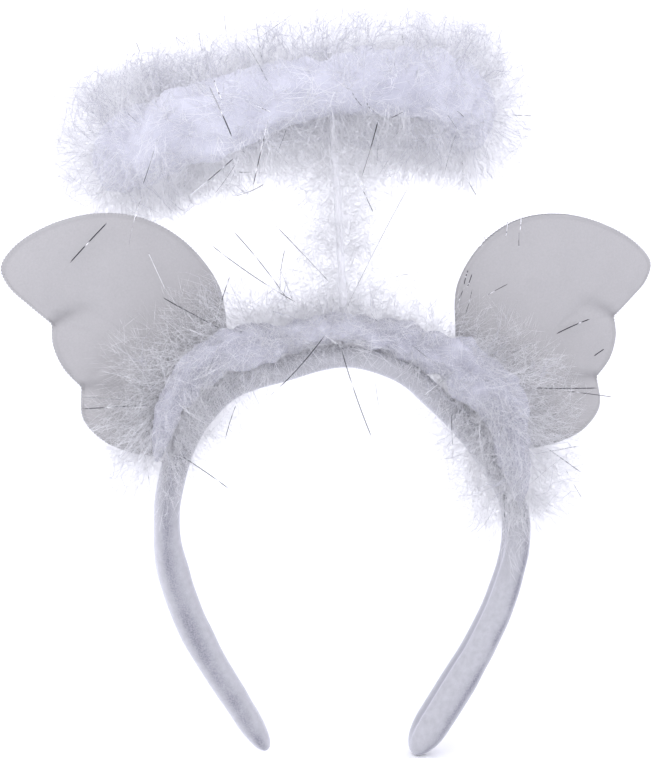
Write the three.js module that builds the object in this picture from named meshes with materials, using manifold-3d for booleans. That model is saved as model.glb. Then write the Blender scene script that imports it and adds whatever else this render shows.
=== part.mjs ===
// Halo headband: a padded alice band with two puffed wings, a feather trim and a feather halo on a wire stem.
// Millimetres, +Z up. The origin is the crown seat, the top of the head opening. The front faces -Y.
import * as THREE from 'three';
import { mergeVertices } from 'three/addons/utils/BufferGeometryUtils.js';
import Module from 'manifold-3d';

const wasm = await Module();
wasm.setup();

// Driving dimensions
const CLEARANCE = 0.3;

const BAND_HALF_WIDTH = 68.3; // crown centre line to the strip's centre line where the band is widest
const BAND_DROP = 146; // crown to the left tip's middle, nearly, along Z
const STRIP_WIDTH = 14.5; // front to back
const STRIP_TIP_WIDTH = 15.5;
const STRIP_CROWN_THICKNESS = 8.6;
const STRIP_LEG_THICKNESS = 9.6;
const STRIP_SQUARENESS = 2.7; // exponent of the padded section, 2 is an ellipse
const TIP_LENGTH = 15;

const WING_SPAN = 80.5; // from the root's inner edge out to the tip
const WING_HEIGHT = 91; // from the lowest lobe to the top edge
const WING_ROOT_X = 44.5; // inner edge of the wing, from the middle
const WING_BASE_Z = -33; // lowest point of the wing
const WING_PAD = 8.4; // thickness at the middle of the padding
const WING_RIM = 2.2; // thickness at the turned edge
const WING_BACK = 2.6; // middle plane of the wings behind the strip's middle

const HALO_RADIUS = 66; // hoop's centre line
const HALO_ACROSS = -7;
const HALO_HEIGHT = 92.7; // mean height of the hoop above the crown seat
const HALO_FRONT = 8; // the hoop's front stands this far in front of the strip's middle
const HALO_FRONT_RISE = 4;
const HALO_SIDE_DROOP = 4.4;
const HALO_SIDE_LEAN = 6.5; // the right side stands higher and the left side lower by this
const HALO_CORE = 13; // radius of the dense feather
const HALO_FLUFF = 13; // how far the locks stand out of the core
const HALO_LOCKS = 78;

const TRIM_LOCKS = 42;
const TRIM_SCALE = 1; // thickness of the feather trim against the rows of TRIM_ROUTE

const WIRE_RADIUS = 1.1;
const WIRE_SEAT_DEPTH = 4.6; // into the band at the crown
const WIRE_HALO_DEPTH = 7; // into the halo's core
const STEM_CORE = 4.6;
const STEM_FLUFF = 10;
const STEM_LOCKS = 14;

// Shares of the band's half width and drop, from the crown down to each tip.
const LEFT_LEG = [
  { out: 0.351, down: 0.029 },
  { out: 0.666, down: 0.077 },
  { out: 0.867, down: 0.179 },
  { out: 0.984, down: 0.328 },
  { out: 1.0, down: 0.468 },
  { out: 0.908, down: 0.646 },
  { out: 0.777, down: 0.778 },
  { out: 0.609, down: 0.913 },
  { out: 0.452, down: 1.042 },
];
const RIGHT_LEG = [
  { out: 0.338, down: 0.05 },
  { out: 0.526, down: 0.122 },
  { out: 0.703, down: 0.204 },
  { out: 0.878, down: 0.31 },
  { out: 0.99, down: 0.413 },
  { out: 1.008, down: 0.52 },
  { out: 0.928, down: 0.665 },
  { out: 0.799, down: 0.794 },
  { out: 0.634, down: 0.922 },
  { out: 0.405, down: 1.085 },
];

// Wing outline from the bottom of the root, round the three lobes and down the inner edge. out is a share of
// the span from the inner edge, up is a share of the height. Rows of one lobe share a smooth edge, and lobes
// meet in notches.
const WING_LOBES = [
  {
    name: 'lower lobe',
    edge: [
      { out: 0.37, up: 0.0 },
      { out: 0.5, up: 0.025 },
      { out: 0.62, up: 0.075 },
      { out: 0.705, up: 0.17 },
      { out: 0.698, up: 0.3 },
    ],
  },
  {
    name: 'middle lobe',
    edge: [
      { out: 0.698, up: 0.3 },
      { out: 0.77, up: 0.38 },
      { out: 0.805, up: 0.475 },
      { out: 0.8, up: 0.56 },
    ],
  },
  {
    name: 'upper lobe and inner edge',
    edge: [
      { out: 0.8, up: 0.56 },
      { out: 0.89, up: 0.635 },
      { out: 0.975, up: 0.715 },
      { out: 0.999, up: 0.79 },
      { out: 0.925, up: 0.875 },
      { out: 0.75, up: 0.96 },
      { out: 0.54, up: 1.0 },
      { out: 0.33, up: 0.975 },
      { out: 0.15, up: 0.875 },
      { out: 0.02, up: 0.7 },
      { out: 0.0, up: 0.5 },
    ],
  },
];
const WING_CENTRE = { out: 0.45, up: 0.5 }; // the padding is fullest here
// Each wing's own set: lift is up, slant carries the top edge out and the lowest lobe in, and the root meets
// the leg between two shares of its length.
const LEFT_WING = { side: -1, lift: 0.9, slant: 4, rootTop: 0.22, rootBottom: 0.405 };
const RIGHT_WING = { side: 1, lift: -1.4, slant: -3, rootTop: 0.22, rootBottom: 0.365 };

// The trim's path on the band: along is a share of the leg's length, minus on the left. lift is out of the
// strip's centre line and front is towards the face, both in shares of the strip's width, and so are core and
// fluff.
const TRIM_ROUTE = [
  { along: -0.4, lift: 0.6, front: 0.5, core: 0.4, fluff: 0.6 },
  { along: -0.31, lift: 0.95, front: 0.75, core: 0.76, fluff: 1.0 },
  { along: -0.2, lift: 1.0, front: 0.6, core: 0.74, fluff: 0.95 },
  { along: -0.1, lift: 0.8, front: 0.25, core: 0.5, fluff: 0.65 },
  { along: 0.0, lift: 0.72, front: 0.12, core: 0.42, fluff: 0.5 },
  { along: 0.1, lift: 0.78, front: 0.15, core: 0.48, fluff: 0.6 },
  { along: 0.19, lift: 1.0, front: 0.5, core: 0.74, fluff: 0.95 },
  { along: 0.28, lift: 1.0, front: 0.75, core: 0.84, fluff: 1.05 },
  { along: 0.37, lift: 0.35, front: 0.9, core: 0.7, fluff: 0.9 },
  { along: 0.455, lift: -0.05, front: 0.9, core: 0.42, fluff: 0.75 },
];

// Colours and finishes
const VELVET = { color: 0xd4d4de, roughness: 0.85, metalness: 0 };
const WING_FELT = { color: 0xd6d6d9, roughness: 0.9, metalness: 0 };
const FEATHER = { color: 0xe4e4f2, roughness: 0.95, metalness: 0 };
const WIRE_STEEL = { color: 0xb8b8bc, roughness: 0.35, metalness: 1 };

// Closed geometry through rings of equal length. Each end closes to a fan round its middle, or the last ring
// joins the first when the loft runs in a loop.
function loft(rings, loop = false) {
  const sides = rings[0].length;
  const points = rings.flat().slice();
  const faces = [];
  const spans = loop ? rings.length : rings.length - 1;
  for (let i = 0; i < spans; i += 1) {
    const here = i * sides;
    const next = ((i + 1) % rings.length) * sides;
    for (let j = 0; j < sides; j += 1) {
      const k = (j + 1) % sides;
      faces.push(here + j, here + k, next + k, here + j, next + k, next + j);
    }
  }
  if (!loop) {
    for (const [ring, flip] of [[0, true], [rings.length - 1, false]]) {
      const middle = new THREE.Vector3();
      rings[ring].forEach((p) => middle.addScaledVector(p, 1 / sides));
      const hub = points.push(middle) - 1;
      for (let j = 0; j < sides; j += 1) {
        const a = ring * sides + j;
        const b = ring * sides + ((j + 1) % sides);
        faces.push(...(flip ? [b, a, hub] : [a, b, hub]));
      }
    }
  }
  const geometry = new THREE.BufferGeometry();
  const numbers = points.flatMap((p) => [p.x, p.y, p.z]);
  geometry.setAttribute('position', new THREE.Float32BufferAttribute(numbers, 3));
  geometry.setIndex(faces);
  return geometry;
}

function solidOf(geometry) {
  const merged = mergeVertices(geometry, 1e-4);
  const mesh = new wasm.Mesh({
    numProp: 3,
    vertProperties: new Float32Array(merged.getAttribute('position').array),
    triVerts: new Uint32Array(merged.getIndex().array),
  });
  const solid = new wasm.Manifold(mesh);
  return solid.volume() < 0 ? solidOf(turnedOut(merged)) : solid;
}

function turnedOut(geometry) {
  const index = Array.from(geometry.getIndex().array);
  for (let i = 0; i < index.length; i += 3) {
    [index[i], index[i + 1]] = [index[i + 1], index[i]];
  }
  geometry.setIndex(index);
  return geometry;
}

function geometryOf(solid) {
  const mesh = solid.getMesh();
  const geometry = new THREE.BufferGeometry();
  geometry.setAttribute('position', new THREE.Float32BufferAttribute(mesh.vertProperties, 3));
  geometry.setIndex(Array.from(mesh.triVerts));
  geometry.computeVertexNormals();
  return geometry;
}

// The biggest body of a solid, without the loose ends that a cut leaves behind.
function mainBody(solid) {
  return solid.decompose().reduce((best, body) => (body.volume() > best.volume() ? body : best));
}

function joined(solids) {
  return solids.reduce((sum, solid) => sum.add(solid));
}

// Repeatable scatter between -1 and 1, from a whole number and a channel.
function scatter(index, channel) {
  const wave = Math.sin(index * 12.9898 + channel * 78.233) * 43758.5453;
  return 2 * (wave - Math.floor(wave)) - 1;
}

// Value of a named column at a place along a table, eased between its rows.
function column(rows, key, place, by) {
  let i = 0;
  while (i < rows.length - 2 && place > rows[i + 1][by]) {
    i += 1;
  }
  const share = THREE.MathUtils.clamp((place - rows[i][by]) / (rows[i + 1][by] - rows[i][by]), 0, 1);
  return THREE.MathUtils.lerp(rows[i][key], rows[i + 1][key], THREE.MathUtils.smoothstep(share, 0, 1));
}

// Centre line of the padded strip, one curve from the left tip over the crown to the right tip.
const CROWN = new THREE.Vector3(0, 0, STRIP_CROWN_THICKNESS / 2);
function legPoints(rows, side) {
  return rows.map(({ out, down }) => {
    const across = side * out * BAND_HALF_WIDTH;
    return new THREE.Vector3(across, 0, CROWN.z - down * BAND_DROP);
  });
}
const bandCurve = new THREE.CatmullRomCurve3([
  ...legPoints(LEFT_LEG, -1).reverse(),
  CROWN,
  ...legPoints(RIGHT_LEG, 1),
]);
bandCurve.arcLengthDivisions = 400;

const CROWN_SHARE = crownShare();
function crownShare() {
  let best = 0;
  const samples = 2000;
  for (let i = 0; i <= samples; i += 1) {
    const u = i / samples;
    if (bandCurve.getPointAt(u).distanceTo(CROWN) < bandCurve.getPointAt(best).distanceTo(CROWN)) {
      best = u;
    }
  }
  return best;
}

// Point and outward direction on the band, at a share of a leg's length from the crown, minus on the left.
function onBand(along) {
  const u = along < 0 ? CROWN_SHARE * (1 + along) : CROWN_SHARE + along * (1 - CROWN_SHARE);
  const share = THREE.MathUtils.clamp(u, 0, 1);
  const tangent = bandCurve.getTangentAt(share);
  const upper = Math.min(1, Math.abs(along) * 2);
  const lower = Math.max(0, Math.abs(along) * 2 - 1);
  return {
    point: bandCurve.getPointAt(share),
    outward: new THREE.Vector3(-tangent.z, 0, tangent.x),
    thickness: THREE.MathUtils.lerp(STRIP_CROWN_THICKNESS, STRIP_LEG_THICKNESS, upper),
    width: THREE.MathUtils.lerp(STRIP_WIDTH, STRIP_TIP_WIDTH, lower),
  };
}

// Padded strip: rounded-square sections along the centre line, drawn in to a rounded tongue at each tip.
const BAND_STEPS = 52;
const BAND_SIDES = 12;
const TIP_STEPS = [0.3, 0.55, 0.75, 0.89, 0.97]; // shares of the tip's length
const TIP_THINNING = 0.45; // share of the thickness that is lost along the tip
function bandSolid(clearance = 0) {
  const legLength = bandCurve.getLength() / 2;
  const tipShare = TIP_LENGTH / legLength;
  const tipSteps = TIP_STEPS.map((u) => 1 - tipShare + u * tipShare);
  const places = [];
  for (let i = 0; i <= BAND_STEPS; i += 1) {
    places.push((2 * i / BAND_STEPS - 1) * (1 - tipShare));
  }
  const all = [...tipSteps.map((u) => -u).reverse(), ...places, ...tipSteps];
  const rings = all.map((along) => {
    const { point, outward, thickness, width } = onBand(along);
    const intoTip = Math.max(0, (Math.abs(along) - 1 + tipShare) / tipShare);
    const halfWidth = (width / 2) * Math.sqrt(1 - intoTip ** 2.4) + clearance;
    const thinned = (1 - TIP_THINNING * intoTip ** 1.6) * Math.sqrt(1 - intoTip ** 6);
    const halfThickness = (thickness / 2) * thinned + clearance;
    const ring = [];
    for (let j = 0; j < BAND_SIDES; j += 1) {
      const turn = (2 * Math.PI * j) / BAND_SIDES;
      const across = Math.sign(Math.cos(turn)) * Math.abs(Math.cos(turn)) ** (2 / STRIP_SQUARENESS);
      const through = Math.sign(Math.sin(turn)) * Math.abs(Math.sin(turn)) ** (2 / STRIP_SQUARENESS);
      const place = point.clone().addScaledVector(outward, through * halfThickness);
      place.y += across * halfWidth;
      ring.push(place);
    }
    return ring;
  });
  return solidOf(loft(rings));
}

// Wing outline in the XZ plane: smooth lobes between the notches, then the root along the strip's outer face.
const LOBE_STEPS = [8, 5, 18];
const ROOT_STEPS = 6;
const ROOT_GAP = 1.2 * CLEARANCE; // from the strip's outer face
function wingOutline({ side, lift, slant, rootTop, rootBottom }) {
  const place = ({ out, up }) => new THREE.Vector2(
    WING_ROOT_X + out * WING_SPAN + slant * (2 * up - 1),
    WING_BASE_Z + up * WING_HEIGHT + lift,
  );
  const outline = [];
  WING_LOBES.forEach(({ edge }, index) => {
    const points = new THREE.SplineCurve(edge.map(place)).getPoints(LOBE_STEPS[index]);
    outline.push(...points.slice(index === 0 ? 0 : 1));
  });
  const root = [];
  for (let i = 0; i <= ROOT_STEPS; i += 1) {
    const along = THREE.MathUtils.lerp(rootTop, rootBottom, i / ROOT_STEPS);
    const { point, outward, thickness } = onBand(side * along);
    const seat = point.clone().addScaledVector(outward, thickness / 2 + ROOT_GAP);
    root.push(new THREE.Vector2(side * seat.x, seat.z));
  }
  outline.push(...root);
  return { outline, centre: place(WING_CENTRE) };
}

// Puffed wing: rings shrink from the outline to the fullest point while the padding swells, and two creases run
// in from the notches.
const WING_RINGS = [
  { share: 1, swell: 0 },
  { share: 0.955, swell: 0.36 },
  { share: 0.84, swell: 0.68 },
  { share: 0.62, swell: 0.9 },
  { share: 0.34, swell: 1 },
];
const CREASE_DEPTH = 0.45;
const CREASE_WIDTH = 0.16; // radians seen from the wing's centre
const CREASE_INNER = { share: 0.5, left: 0.25 }; // what is left of a crease inside this share of the way out
function wingSolid(wing, clearance = 0) {
  const { side } = wing;
  const { outline, centre } = wingOutline(wing);
  const notches = [WING_LOBES[1].edge[0], WING_LOBES[2].edge[0]].map(({ out, up }) => Math.atan2(
    (up - WING_CENTRE.up) * WING_HEIGHT,
    (out - WING_CENTRE.out) * WING_SPAN,
  ));
  const ringAt = ({ share, swell }, facing) => outline.map((point) => {
    const spoke = point.clone().sub(centre);
    const reach = spoke.length();
    const turn = Math.atan2(spoke.y, spoke.x);
    const crease = notches.reduce((sum, notch) => sum + Math.exp(-(((turn - notch) / CREASE_WIDTH) ** 2)), 0);
    const fade = share < CREASE_INNER.share ? CREASE_INNER.left : 1;
    const swollen = swell * (1 - CREASE_DEPTH * crease * fade);
    const half = THREE.MathUtils.lerp(WING_RIM, WING_PAD, swollen) / 2 + clearance;
    const spot = centre.clone().addScaledVector(spoke, share * (1 + clearance / reach));
    return new THREE.Vector3(side * spot.x, WING_BACK + facing * half, spot.y);
  });
  const rings = [
    ...WING_RINGS.slice().reverse().map((row) => ringAt(row, -1)),
    ...WING_RINGS.map((row) => ringAt(row, 1)),
  ];
  return solidOf(loft(rings));
}

// A tuft of barbs: four-sided rings that taper to a blunt point and sag with their length.
const LOCK_SIDES = 4;
const LOCK_RINGS = [
  { along: 0, girth: 0.85 },
  { along: 0.55, girth: 1 },
];
const LOCK_TIP = 0.12; // of the last ring's girth
const LOCK_BREADTH = 1.35; // tufts are this much broader, and as much thinner, than round
function lock(base, direction, length, girth, sag) {
  const side = new THREE.Vector3(0, 0, 1).cross(direction);
  if (side.lengthSq() < 1e-4) {
    side.set(1, 0, 0);
  }
  side.normalize();
  const other = direction.clone().cross(side);
  const spine = (share) => base.clone()
    .addScaledVector(direction, share * length)
    .add(new THREE.Vector3(0, 0, -sag * length * share * share));
  const rings = LOCK_RINGS.map((row) => {
    const ring = [];
    for (let j = 0; j < LOCK_SIDES; j += 1) {
      const turn = (2 * Math.PI * j) / LOCK_SIDES;
      ring.push(spine(row.along)
        .addScaledVector(side, Math.cos(turn) * girth * row.girth * LOCK_BREADTH)
        .addScaledVector(other, (Math.sin(turn) * girth * row.girth) / LOCK_BREADTH));
    }
    return ring;
  });
  const tip = spine(1);
  const shoulder = spine(LOCK_RINGS[1].along);
  rings.push(rings[1].map((p) => p.clone().sub(shoulder).multiplyScalar(LOCK_TIP).add(tip)));
  return solidOf(loft(rings));
}

// Feather boa: a dense core along a route with tufts standing out all round it.
// route gives the point, tangent, core radius and fluff length at a share of the whole.
const GOLDEN_TURN = Math.PI * (3 - Math.sqrt(5));
const CORE_LUMPS = 0.06; // share of the core's radius
const END_ROUNDING = 8; // exponent of a boa's rounded end
const END_BLUNTNESS = 0.08;
const LOCK_ROOT = 0.45; // how far out in the core a tuft starts, as a share of its radius
const LOCK_GIRTH = 0.4; // of the core's radius
const LOCK_LEAN = 0.8; // most lean along the boa
const LOCK_JITTER = 0.3; // in turn and place
const LOCK_VARIETY = 0.15; // in length and girth
function boaSolid({ route, loop, steps, sides, locks, sag }) {
  const rings = [];
  const last = loop ? steps - 1 : steps;
  for (let i = 0; i <= last; i += 1) {
    const { point, across, over, core } = route(i / steps);
    const rounded = 1 - Math.abs((2 * i) / steps - 1) ** END_ROUNDING;
    const end = loop ? 1 : Math.sqrt(Math.max(END_BLUNTNESS, rounded));
    const ring = [];
    for (let j = 0; j < sides; j += 1) {
      const turn = (2 * Math.PI * j) / sides;
      const lump = 1 + CORE_LUMPS * scatter(i * sides + j, 1);
      ring.push(point.clone()
        .addScaledVector(across, Math.cos(turn) * core * end * lump)
        .addScaledVector(over, Math.sin(turn) * core * end * lump));
    }
    rings.push(ring);
  }
  const tufts = [];
  for (let i = 0; i < locks; i += 1) {
    const share = (i + 0.5 + LOCK_JITTER * scatter(i, 2)) / locks;
    const turn = i * GOLDEN_TURN + LOCK_JITTER * scatter(i, 3);
    const { point, across, over, along, core, fluff } = route(share);
    const radial = across.clone().multiplyScalar(Math.cos(turn)).addScaledVector(over, Math.sin(turn));
    const direction = radial.clone().addScaledVector(along, LOCK_LEAN * scatter(i, 4)).normalize();
    const reach = fluff * (1 - LOCK_VARIETY + LOCK_VARIETY * scatter(i, 5));
    const girth = core * LOCK_GIRTH * (1 + LOCK_VARIETY * scatter(i, 6));
    const root = point.clone().addScaledVector(radial, core * LOCK_ROOT);
    tufts.push(lock(root, direction, core * (1 - LOCK_ROOT) + reach, girth, sag));
  }
  return joined([solidOf(loft(rings, loop)), ...tufts]);
}

// The hoop's centre line at an angle from its front, and the frame round it.
const HALO_DEPTH = HALO_RADIUS - HALO_FRONT;
function haloPoint(turn) {
  return new THREE.Vector3(
    HALO_ACROSS + HALO_RADIUS * Math.sin(turn),
    HALO_DEPTH - HALO_RADIUS * Math.cos(turn),
    HALO_HEIGHT + HALO_FRONT_RISE * Math.cos(turn) + HALO_SIDE_DROOP * Math.cos(2 * turn)
      + HALO_SIDE_LEAN * Math.sin(turn),
  );
}
const FRAME_STEP = 0.01; // either side of a point, for its direction
function haloRoute(share) {
  const turn = 2 * Math.PI * share;
  const along = haloPoint(turn + FRAME_STEP).sub(haloPoint(turn - FRAME_STEP)).normalize();
  const across = new THREE.Vector3(0, 0, 1).cross(along).normalize();
  const over = along.clone().cross(across);
  return { point: haloPoint(turn), along, across, over, core: HALO_CORE, fluff: HALO_FLUFF };
}
const HALO_STEPS = 36;
const HALO_SAG = 0.06; // share of a tuft's length
const CORE_SIDES = 8;

// The stem's wire leaves the crown, leans a little and runs into the front of the hoop.
const HALO_SEAT = haloPoint(0);
const STEM_FOOT = new THREE.Vector3(0, 0, STRIP_CROWN_THICKNESS - WIRE_SEAT_DEPTH);
const STEM_TOP = new THREE.Vector3(HALO_SEAT.x, HALO_SEAT.y, HALO_SEAT.z - HALO_CORE + WIRE_HALO_DEPTH);
const STEM_BOW = 0.35; // share of the lean that is made in the lower half
const stemCurve = new THREE.QuadraticBezierCurve3(
  STEM_FOOT,
  new THREE.Vector3(STEM_TOP.x * STEM_BOW, STEM_TOP.y * STEM_BOW, (STEM_FOOT.z + STEM_TOP.z) / 2),
  STEM_TOP,
);
function stemFrame(share) {
  const along = stemCurve.getTangentAt(share);
  const across = new THREE.Vector3(0, 1, 0).cross(along).normalize();
  return { point: stemCurve.getPointAt(share), along, across, over: along.clone().cross(across) };
}

// Round tube along the stem between two shares of it. With a clearance it encloses the plain tube all round.
const TUBE_STEPS = 10;
function stemTube(radius, from, to, sides, clearance = 0) {
  const rings = [];
  const reach = clearance > 0 ? (radius + clearance) / Math.cos(Math.PI / sides) : radius;
  for (let i = 0; i <= TUBE_STEPS; i += 1) {
    const { point, across, over, along } = stemFrame(THREE.MathUtils.lerp(from, to, i / TUBE_STEPS));
    if (i === 0 || i === TUBE_STEPS) {
      point.addScaledVector(along, i === 0 ? -clearance : clearance);
    }
    const ring = [];
    for (let j = 0; j < sides; j += 1) {
      const turn = (2 * Math.PI * j) / sides;
      ring.push(point.clone()
        .addScaledVector(across, Math.cos(turn) * reach)
        .addScaledVector(over, Math.sin(turn) * reach));
    }
    rings.push(ring);
  }
  return solidOf(loft(rings));
}
const WIRE_SIDES = 10;
const ROOM_SIDES = 12;
function wireSolid(clearance = 0) {
  return stemTube(WIRE_RADIUS, 0, 1, WIRE_SIDES, clearance);
}

// The stem's feather stands between the trim's core and the halo's core.
const STEM_STEPS = 8;
const STEM_SAG = 0.15;
const STEM_LENGTH = stemCurve.getLength();
const TRIM_TOP = CROWN.z + (trimRow(0).lift + trimRow(0).core);
const STEM_FROM = (TRIM_TOP + 2 * CLEARANCE - STEM_FOOT.z) / STEM_LENGTH;
const STEM_TO = (STEM_TOP.z - WIRE_HALO_DEPTH - 3 * CLEARANCE - STEM_FOOT.z) / STEM_LENGTH;
function stemRoom(clearance = 0) {
  return stemTube(STEM_CORE + STEM_FLUFF, STEM_FROM, STEM_TO, ROOM_SIDES, clearance);
}
function stemRoute(share) {
  const frame = stemFrame(THREE.MathUtils.lerp(STEM_FROM, STEM_TO, share));
  return { ...frame, core: STEM_CORE, fluff: STEM_FLUFF };
}

// The trim's row at a share of a leg, in millimetres.
function trimRow(along) {
  const size = (key) => STRIP_WIDTH * column(TRIM_ROUTE, key, along, 'along');
  return {
    lift: size('lift'),
    front: size('front'),
    core: TRIM_SCALE * size('core'),
    fluff: TRIM_SCALE * size('fluff'),
  };
}
function trimPoint(share) {
  const along = THREE.MathUtils.lerp(TRIM_ROUTE[0].along, TRIM_ROUTE[TRIM_ROUTE.length - 1].along, share);
  const { point, outward } = onBand(along);
  const { lift, front } = trimRow(along);
  point.addScaledVector(outward, lift);
  point.y -= front;
  return { point, outward, along };
}
function trimRoute(share) {
  const { point, outward, along: place } = trimPoint(share);
  const before = trimPoint(Math.max(0, share - FRAME_STEP)).point;
  const along = trimPoint(Math.min(1, share + FRAME_STEP)).point.sub(before).normalize();
  const across = outward.clone().cross(along).normalize();
  return { point, along, across, over: along.clone().cross(across), ...trimRow(place) };
}
const TRIM_STEPS = 22;
const TRIM_SAG = 0.12;

function makeHeadband() {
  return bandSolid().subtract(wireSolid(CLEARANCE));
}

function makeWing(wing) {
  return mainBody(wingSolid(wing).subtract(bandSolid(CLEARANCE)));
}

function makeTrim() {
  const boa = boaSolid({
    route: trimRoute, loop: false, steps: TRIM_STEPS, sides: CORE_SIDES, locks: TRIM_LOCKS, sag: TRIM_SAG,
  });
  const neighbours = [
    bandSolid(CLEARANCE),
    wingSolid(LEFT_WING, CLEARANCE),
    wingSolid(RIGHT_WING, CLEARANCE),
    wireSolid(CLEARANCE),
    stemRoom(CLEARANCE),
  ];
  return mainBody(neighbours.reduce((rest, neighbour) => rest.subtract(neighbour), boa));
}

function makeHalo() {
  const boa = boaSolid({
    route: haloRoute, loop: true, steps: HALO_STEPS, sides: CORE_SIDES, locks: HALO_LOCKS, sag: HALO_SAG,
  });
  return mainBody(boa.subtract(wireSolid(CLEARANCE)).subtract(stemRoom(CLEARANCE)));
}

function makeStemFeather() {
  const boa = boaSolid({
    route: stemRoute, loop: false, steps: STEM_STEPS, sides: CORE_SIDES, locks: STEM_LOCKS, sag: STEM_SAG,
  });
  return mainBody(boa.intersect(stemRoom()).subtract(wireSolid(CLEARANCE)));
}

function meshOf(name, solid, finish) {
  const mesh = new THREE.Mesh(geometryOf(solid), new THREE.MeshStandardMaterial(finish));
  mesh.name = name;
  return mesh;
}

const halo = new THREE.Group();
halo.add(
  meshOf('stem_wire', wireSolid(), WIRE_STEEL),
  meshOf('stem_boa', makeStemFeather(), FEATHER),
  meshOf('halo_boa', makeHalo(), FEATHER),
);

const headpiece = new THREE.Group();
headpiece.add(
  meshOf('headband', makeHeadband(), VELVET),
  meshOf('wing_left', makeWing(LEFT_WING), WING_FELT),
  meshOf('wing_right', makeWing(RIGHT_WING), WING_FELT),
  meshOf('trim_boa', makeTrim(), FEATHER),
  halo,
);

export default headpiece;
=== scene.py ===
import math

import bpy
import numpy as np
from mathutils import Matrix, Vector


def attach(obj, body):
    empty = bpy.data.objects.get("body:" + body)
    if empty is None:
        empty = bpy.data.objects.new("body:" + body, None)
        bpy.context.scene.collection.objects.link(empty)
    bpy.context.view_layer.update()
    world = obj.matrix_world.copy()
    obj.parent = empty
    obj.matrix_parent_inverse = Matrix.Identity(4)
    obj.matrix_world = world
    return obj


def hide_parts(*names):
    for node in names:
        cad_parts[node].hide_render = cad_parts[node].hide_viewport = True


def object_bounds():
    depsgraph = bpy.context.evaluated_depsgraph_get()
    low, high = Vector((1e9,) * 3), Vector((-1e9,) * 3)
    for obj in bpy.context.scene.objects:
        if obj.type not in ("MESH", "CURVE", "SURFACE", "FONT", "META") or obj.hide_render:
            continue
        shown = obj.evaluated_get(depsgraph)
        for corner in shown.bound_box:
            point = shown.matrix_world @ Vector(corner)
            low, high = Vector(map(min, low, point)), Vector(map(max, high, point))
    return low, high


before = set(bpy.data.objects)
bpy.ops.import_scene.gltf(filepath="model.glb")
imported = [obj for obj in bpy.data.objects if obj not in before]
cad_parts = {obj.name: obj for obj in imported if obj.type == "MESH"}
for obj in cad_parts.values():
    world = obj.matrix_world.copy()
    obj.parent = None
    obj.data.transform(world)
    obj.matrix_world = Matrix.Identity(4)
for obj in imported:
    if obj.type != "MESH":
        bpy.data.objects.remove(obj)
cad_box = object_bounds()

# Halo headband
# A velvet band, two puffed felt wings, a feather trim, a feather halo on a stem and loose tinsel. Sizes are
# millimetres in the frame of the solids and become metres where a mesh is made. The front faces -Y.
MM = 0.001
UP = np.array([0.0, 0.0, 1.0])
FORWARD = np.array([0.0, -1.0, 0.0])
REAR = -FORWARD

# Band
BAND_HALF_WIDTH = 68.3
BAND_DROP = 146.0
STRIP_WIDTH = 14.5
STRIP_TIP_WIDTH = 15.5
STRIP_CROWN_THICKNESS = 8.6
STRIP_LEG_THICKNESS = 9.6
STRIP_SQUARENESS = 2.7
TIP_LENGTH = 15.0
TIP_THINNING = 0.45
LEFT_LEG = [
    {"out": 0.351, "down": 0.029},
    {"out": 0.666, "down": 0.077},
    {"out": 0.867, "down": 0.179},
    {"out": 0.984, "down": 0.328},
    {"out": 1.0, "down": 0.468},
    {"out": 0.908, "down": 0.646},
    {"out": 0.777, "down": 0.778},
    {"out": 0.609, "down": 0.913},
    {"out": 0.452, "down": 1.042},
]
RIGHT_LEG = [
    {"out": 0.338, "down": 0.05},
    {"out": 0.526, "down": 0.122},
    {"out": 0.703, "down": 0.204},
    {"out": 0.878, "down": 0.31},
    {"out": 0.99, "down": 0.413},
    {"out": 1.008, "down": 0.52},
    {"out": 0.928, "down": 0.665},
    {"out": 0.799, "down": 0.794},
    {"out": 0.634, "down": 0.922},
    {"out": 0.405, "down": 1.085},
]

# More padding in the lower legs, on each side of the strip, at shares of the band's drop
LEFT_SWELL = [
    {"down": 0.42, "more": 0.0},
    {"down": 0.56, "more": 1.25},
    {"down": 0.7, "more": 1.4},
    {"down": 0.82, "more": 0.7},
    {"down": 0.94, "more": 0.2},
    {"down": 1.1, "more": 0.0},
]
RIGHT_SWELL = [
    {"down": 0.52, "more": 0.0},
    {"down": 0.69, "more": 0.75},
    {"down": 0.8, "more": 1.05},
    {"down": 0.92, "more": 1.6},
    {"down": 1.1, "more": 1.6},
]

# Wings
WING_SPAN = 80.5
WING_HEIGHT = 91.0
WING_ROOT_X = 44.5
WING_BASE_Z = -33.0
WING_PAD = 8.4
WING_RIM = 2.2
WING_BACK = 2.6
ROOT_GAP = 0.36
PAD_BEFORE_PUFFING = 0.78
PUFF_PRESSURE = 14.0
PUFF_FRAMES = 18
PUFF_MOST = 1.1
STITCH_PITCH = 1.3
STITCH_BITE = 1.0
STITCH_GIRTH = 0.17
LOWER_LOBE = [(0.37, 0.0), (0.5, 0.025), (0.62, 0.075), (0.705, 0.17), (0.698, 0.3)]
MIDDLE_LOBE = [(0.698, 0.3), (0.77, 0.38), (0.805, 0.475), (0.8, 0.56)]
UPPER_LOBE = [
    (0.8, 0.56), (0.89, 0.635), (0.975, 0.715), (0.999, 0.79), (0.925, 0.875), (0.75, 0.96),
    (0.54, 1.0), (0.33, 0.975), (0.15, 0.875), (0.02, 0.7), (0.0, 0.5),
]
WING_CENTRE = (0.45, 0.5)
LEFT_WING = {"name": "wing_left", "side": -1, "lift": 0.9, "slant": 4.0, "root": (0.22, 0.405)}
RIGHT_WING = {"name": "wing_right", "side": 1, "lift": -1.4, "slant": -3.0, "root": (0.22, 0.365)}

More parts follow.
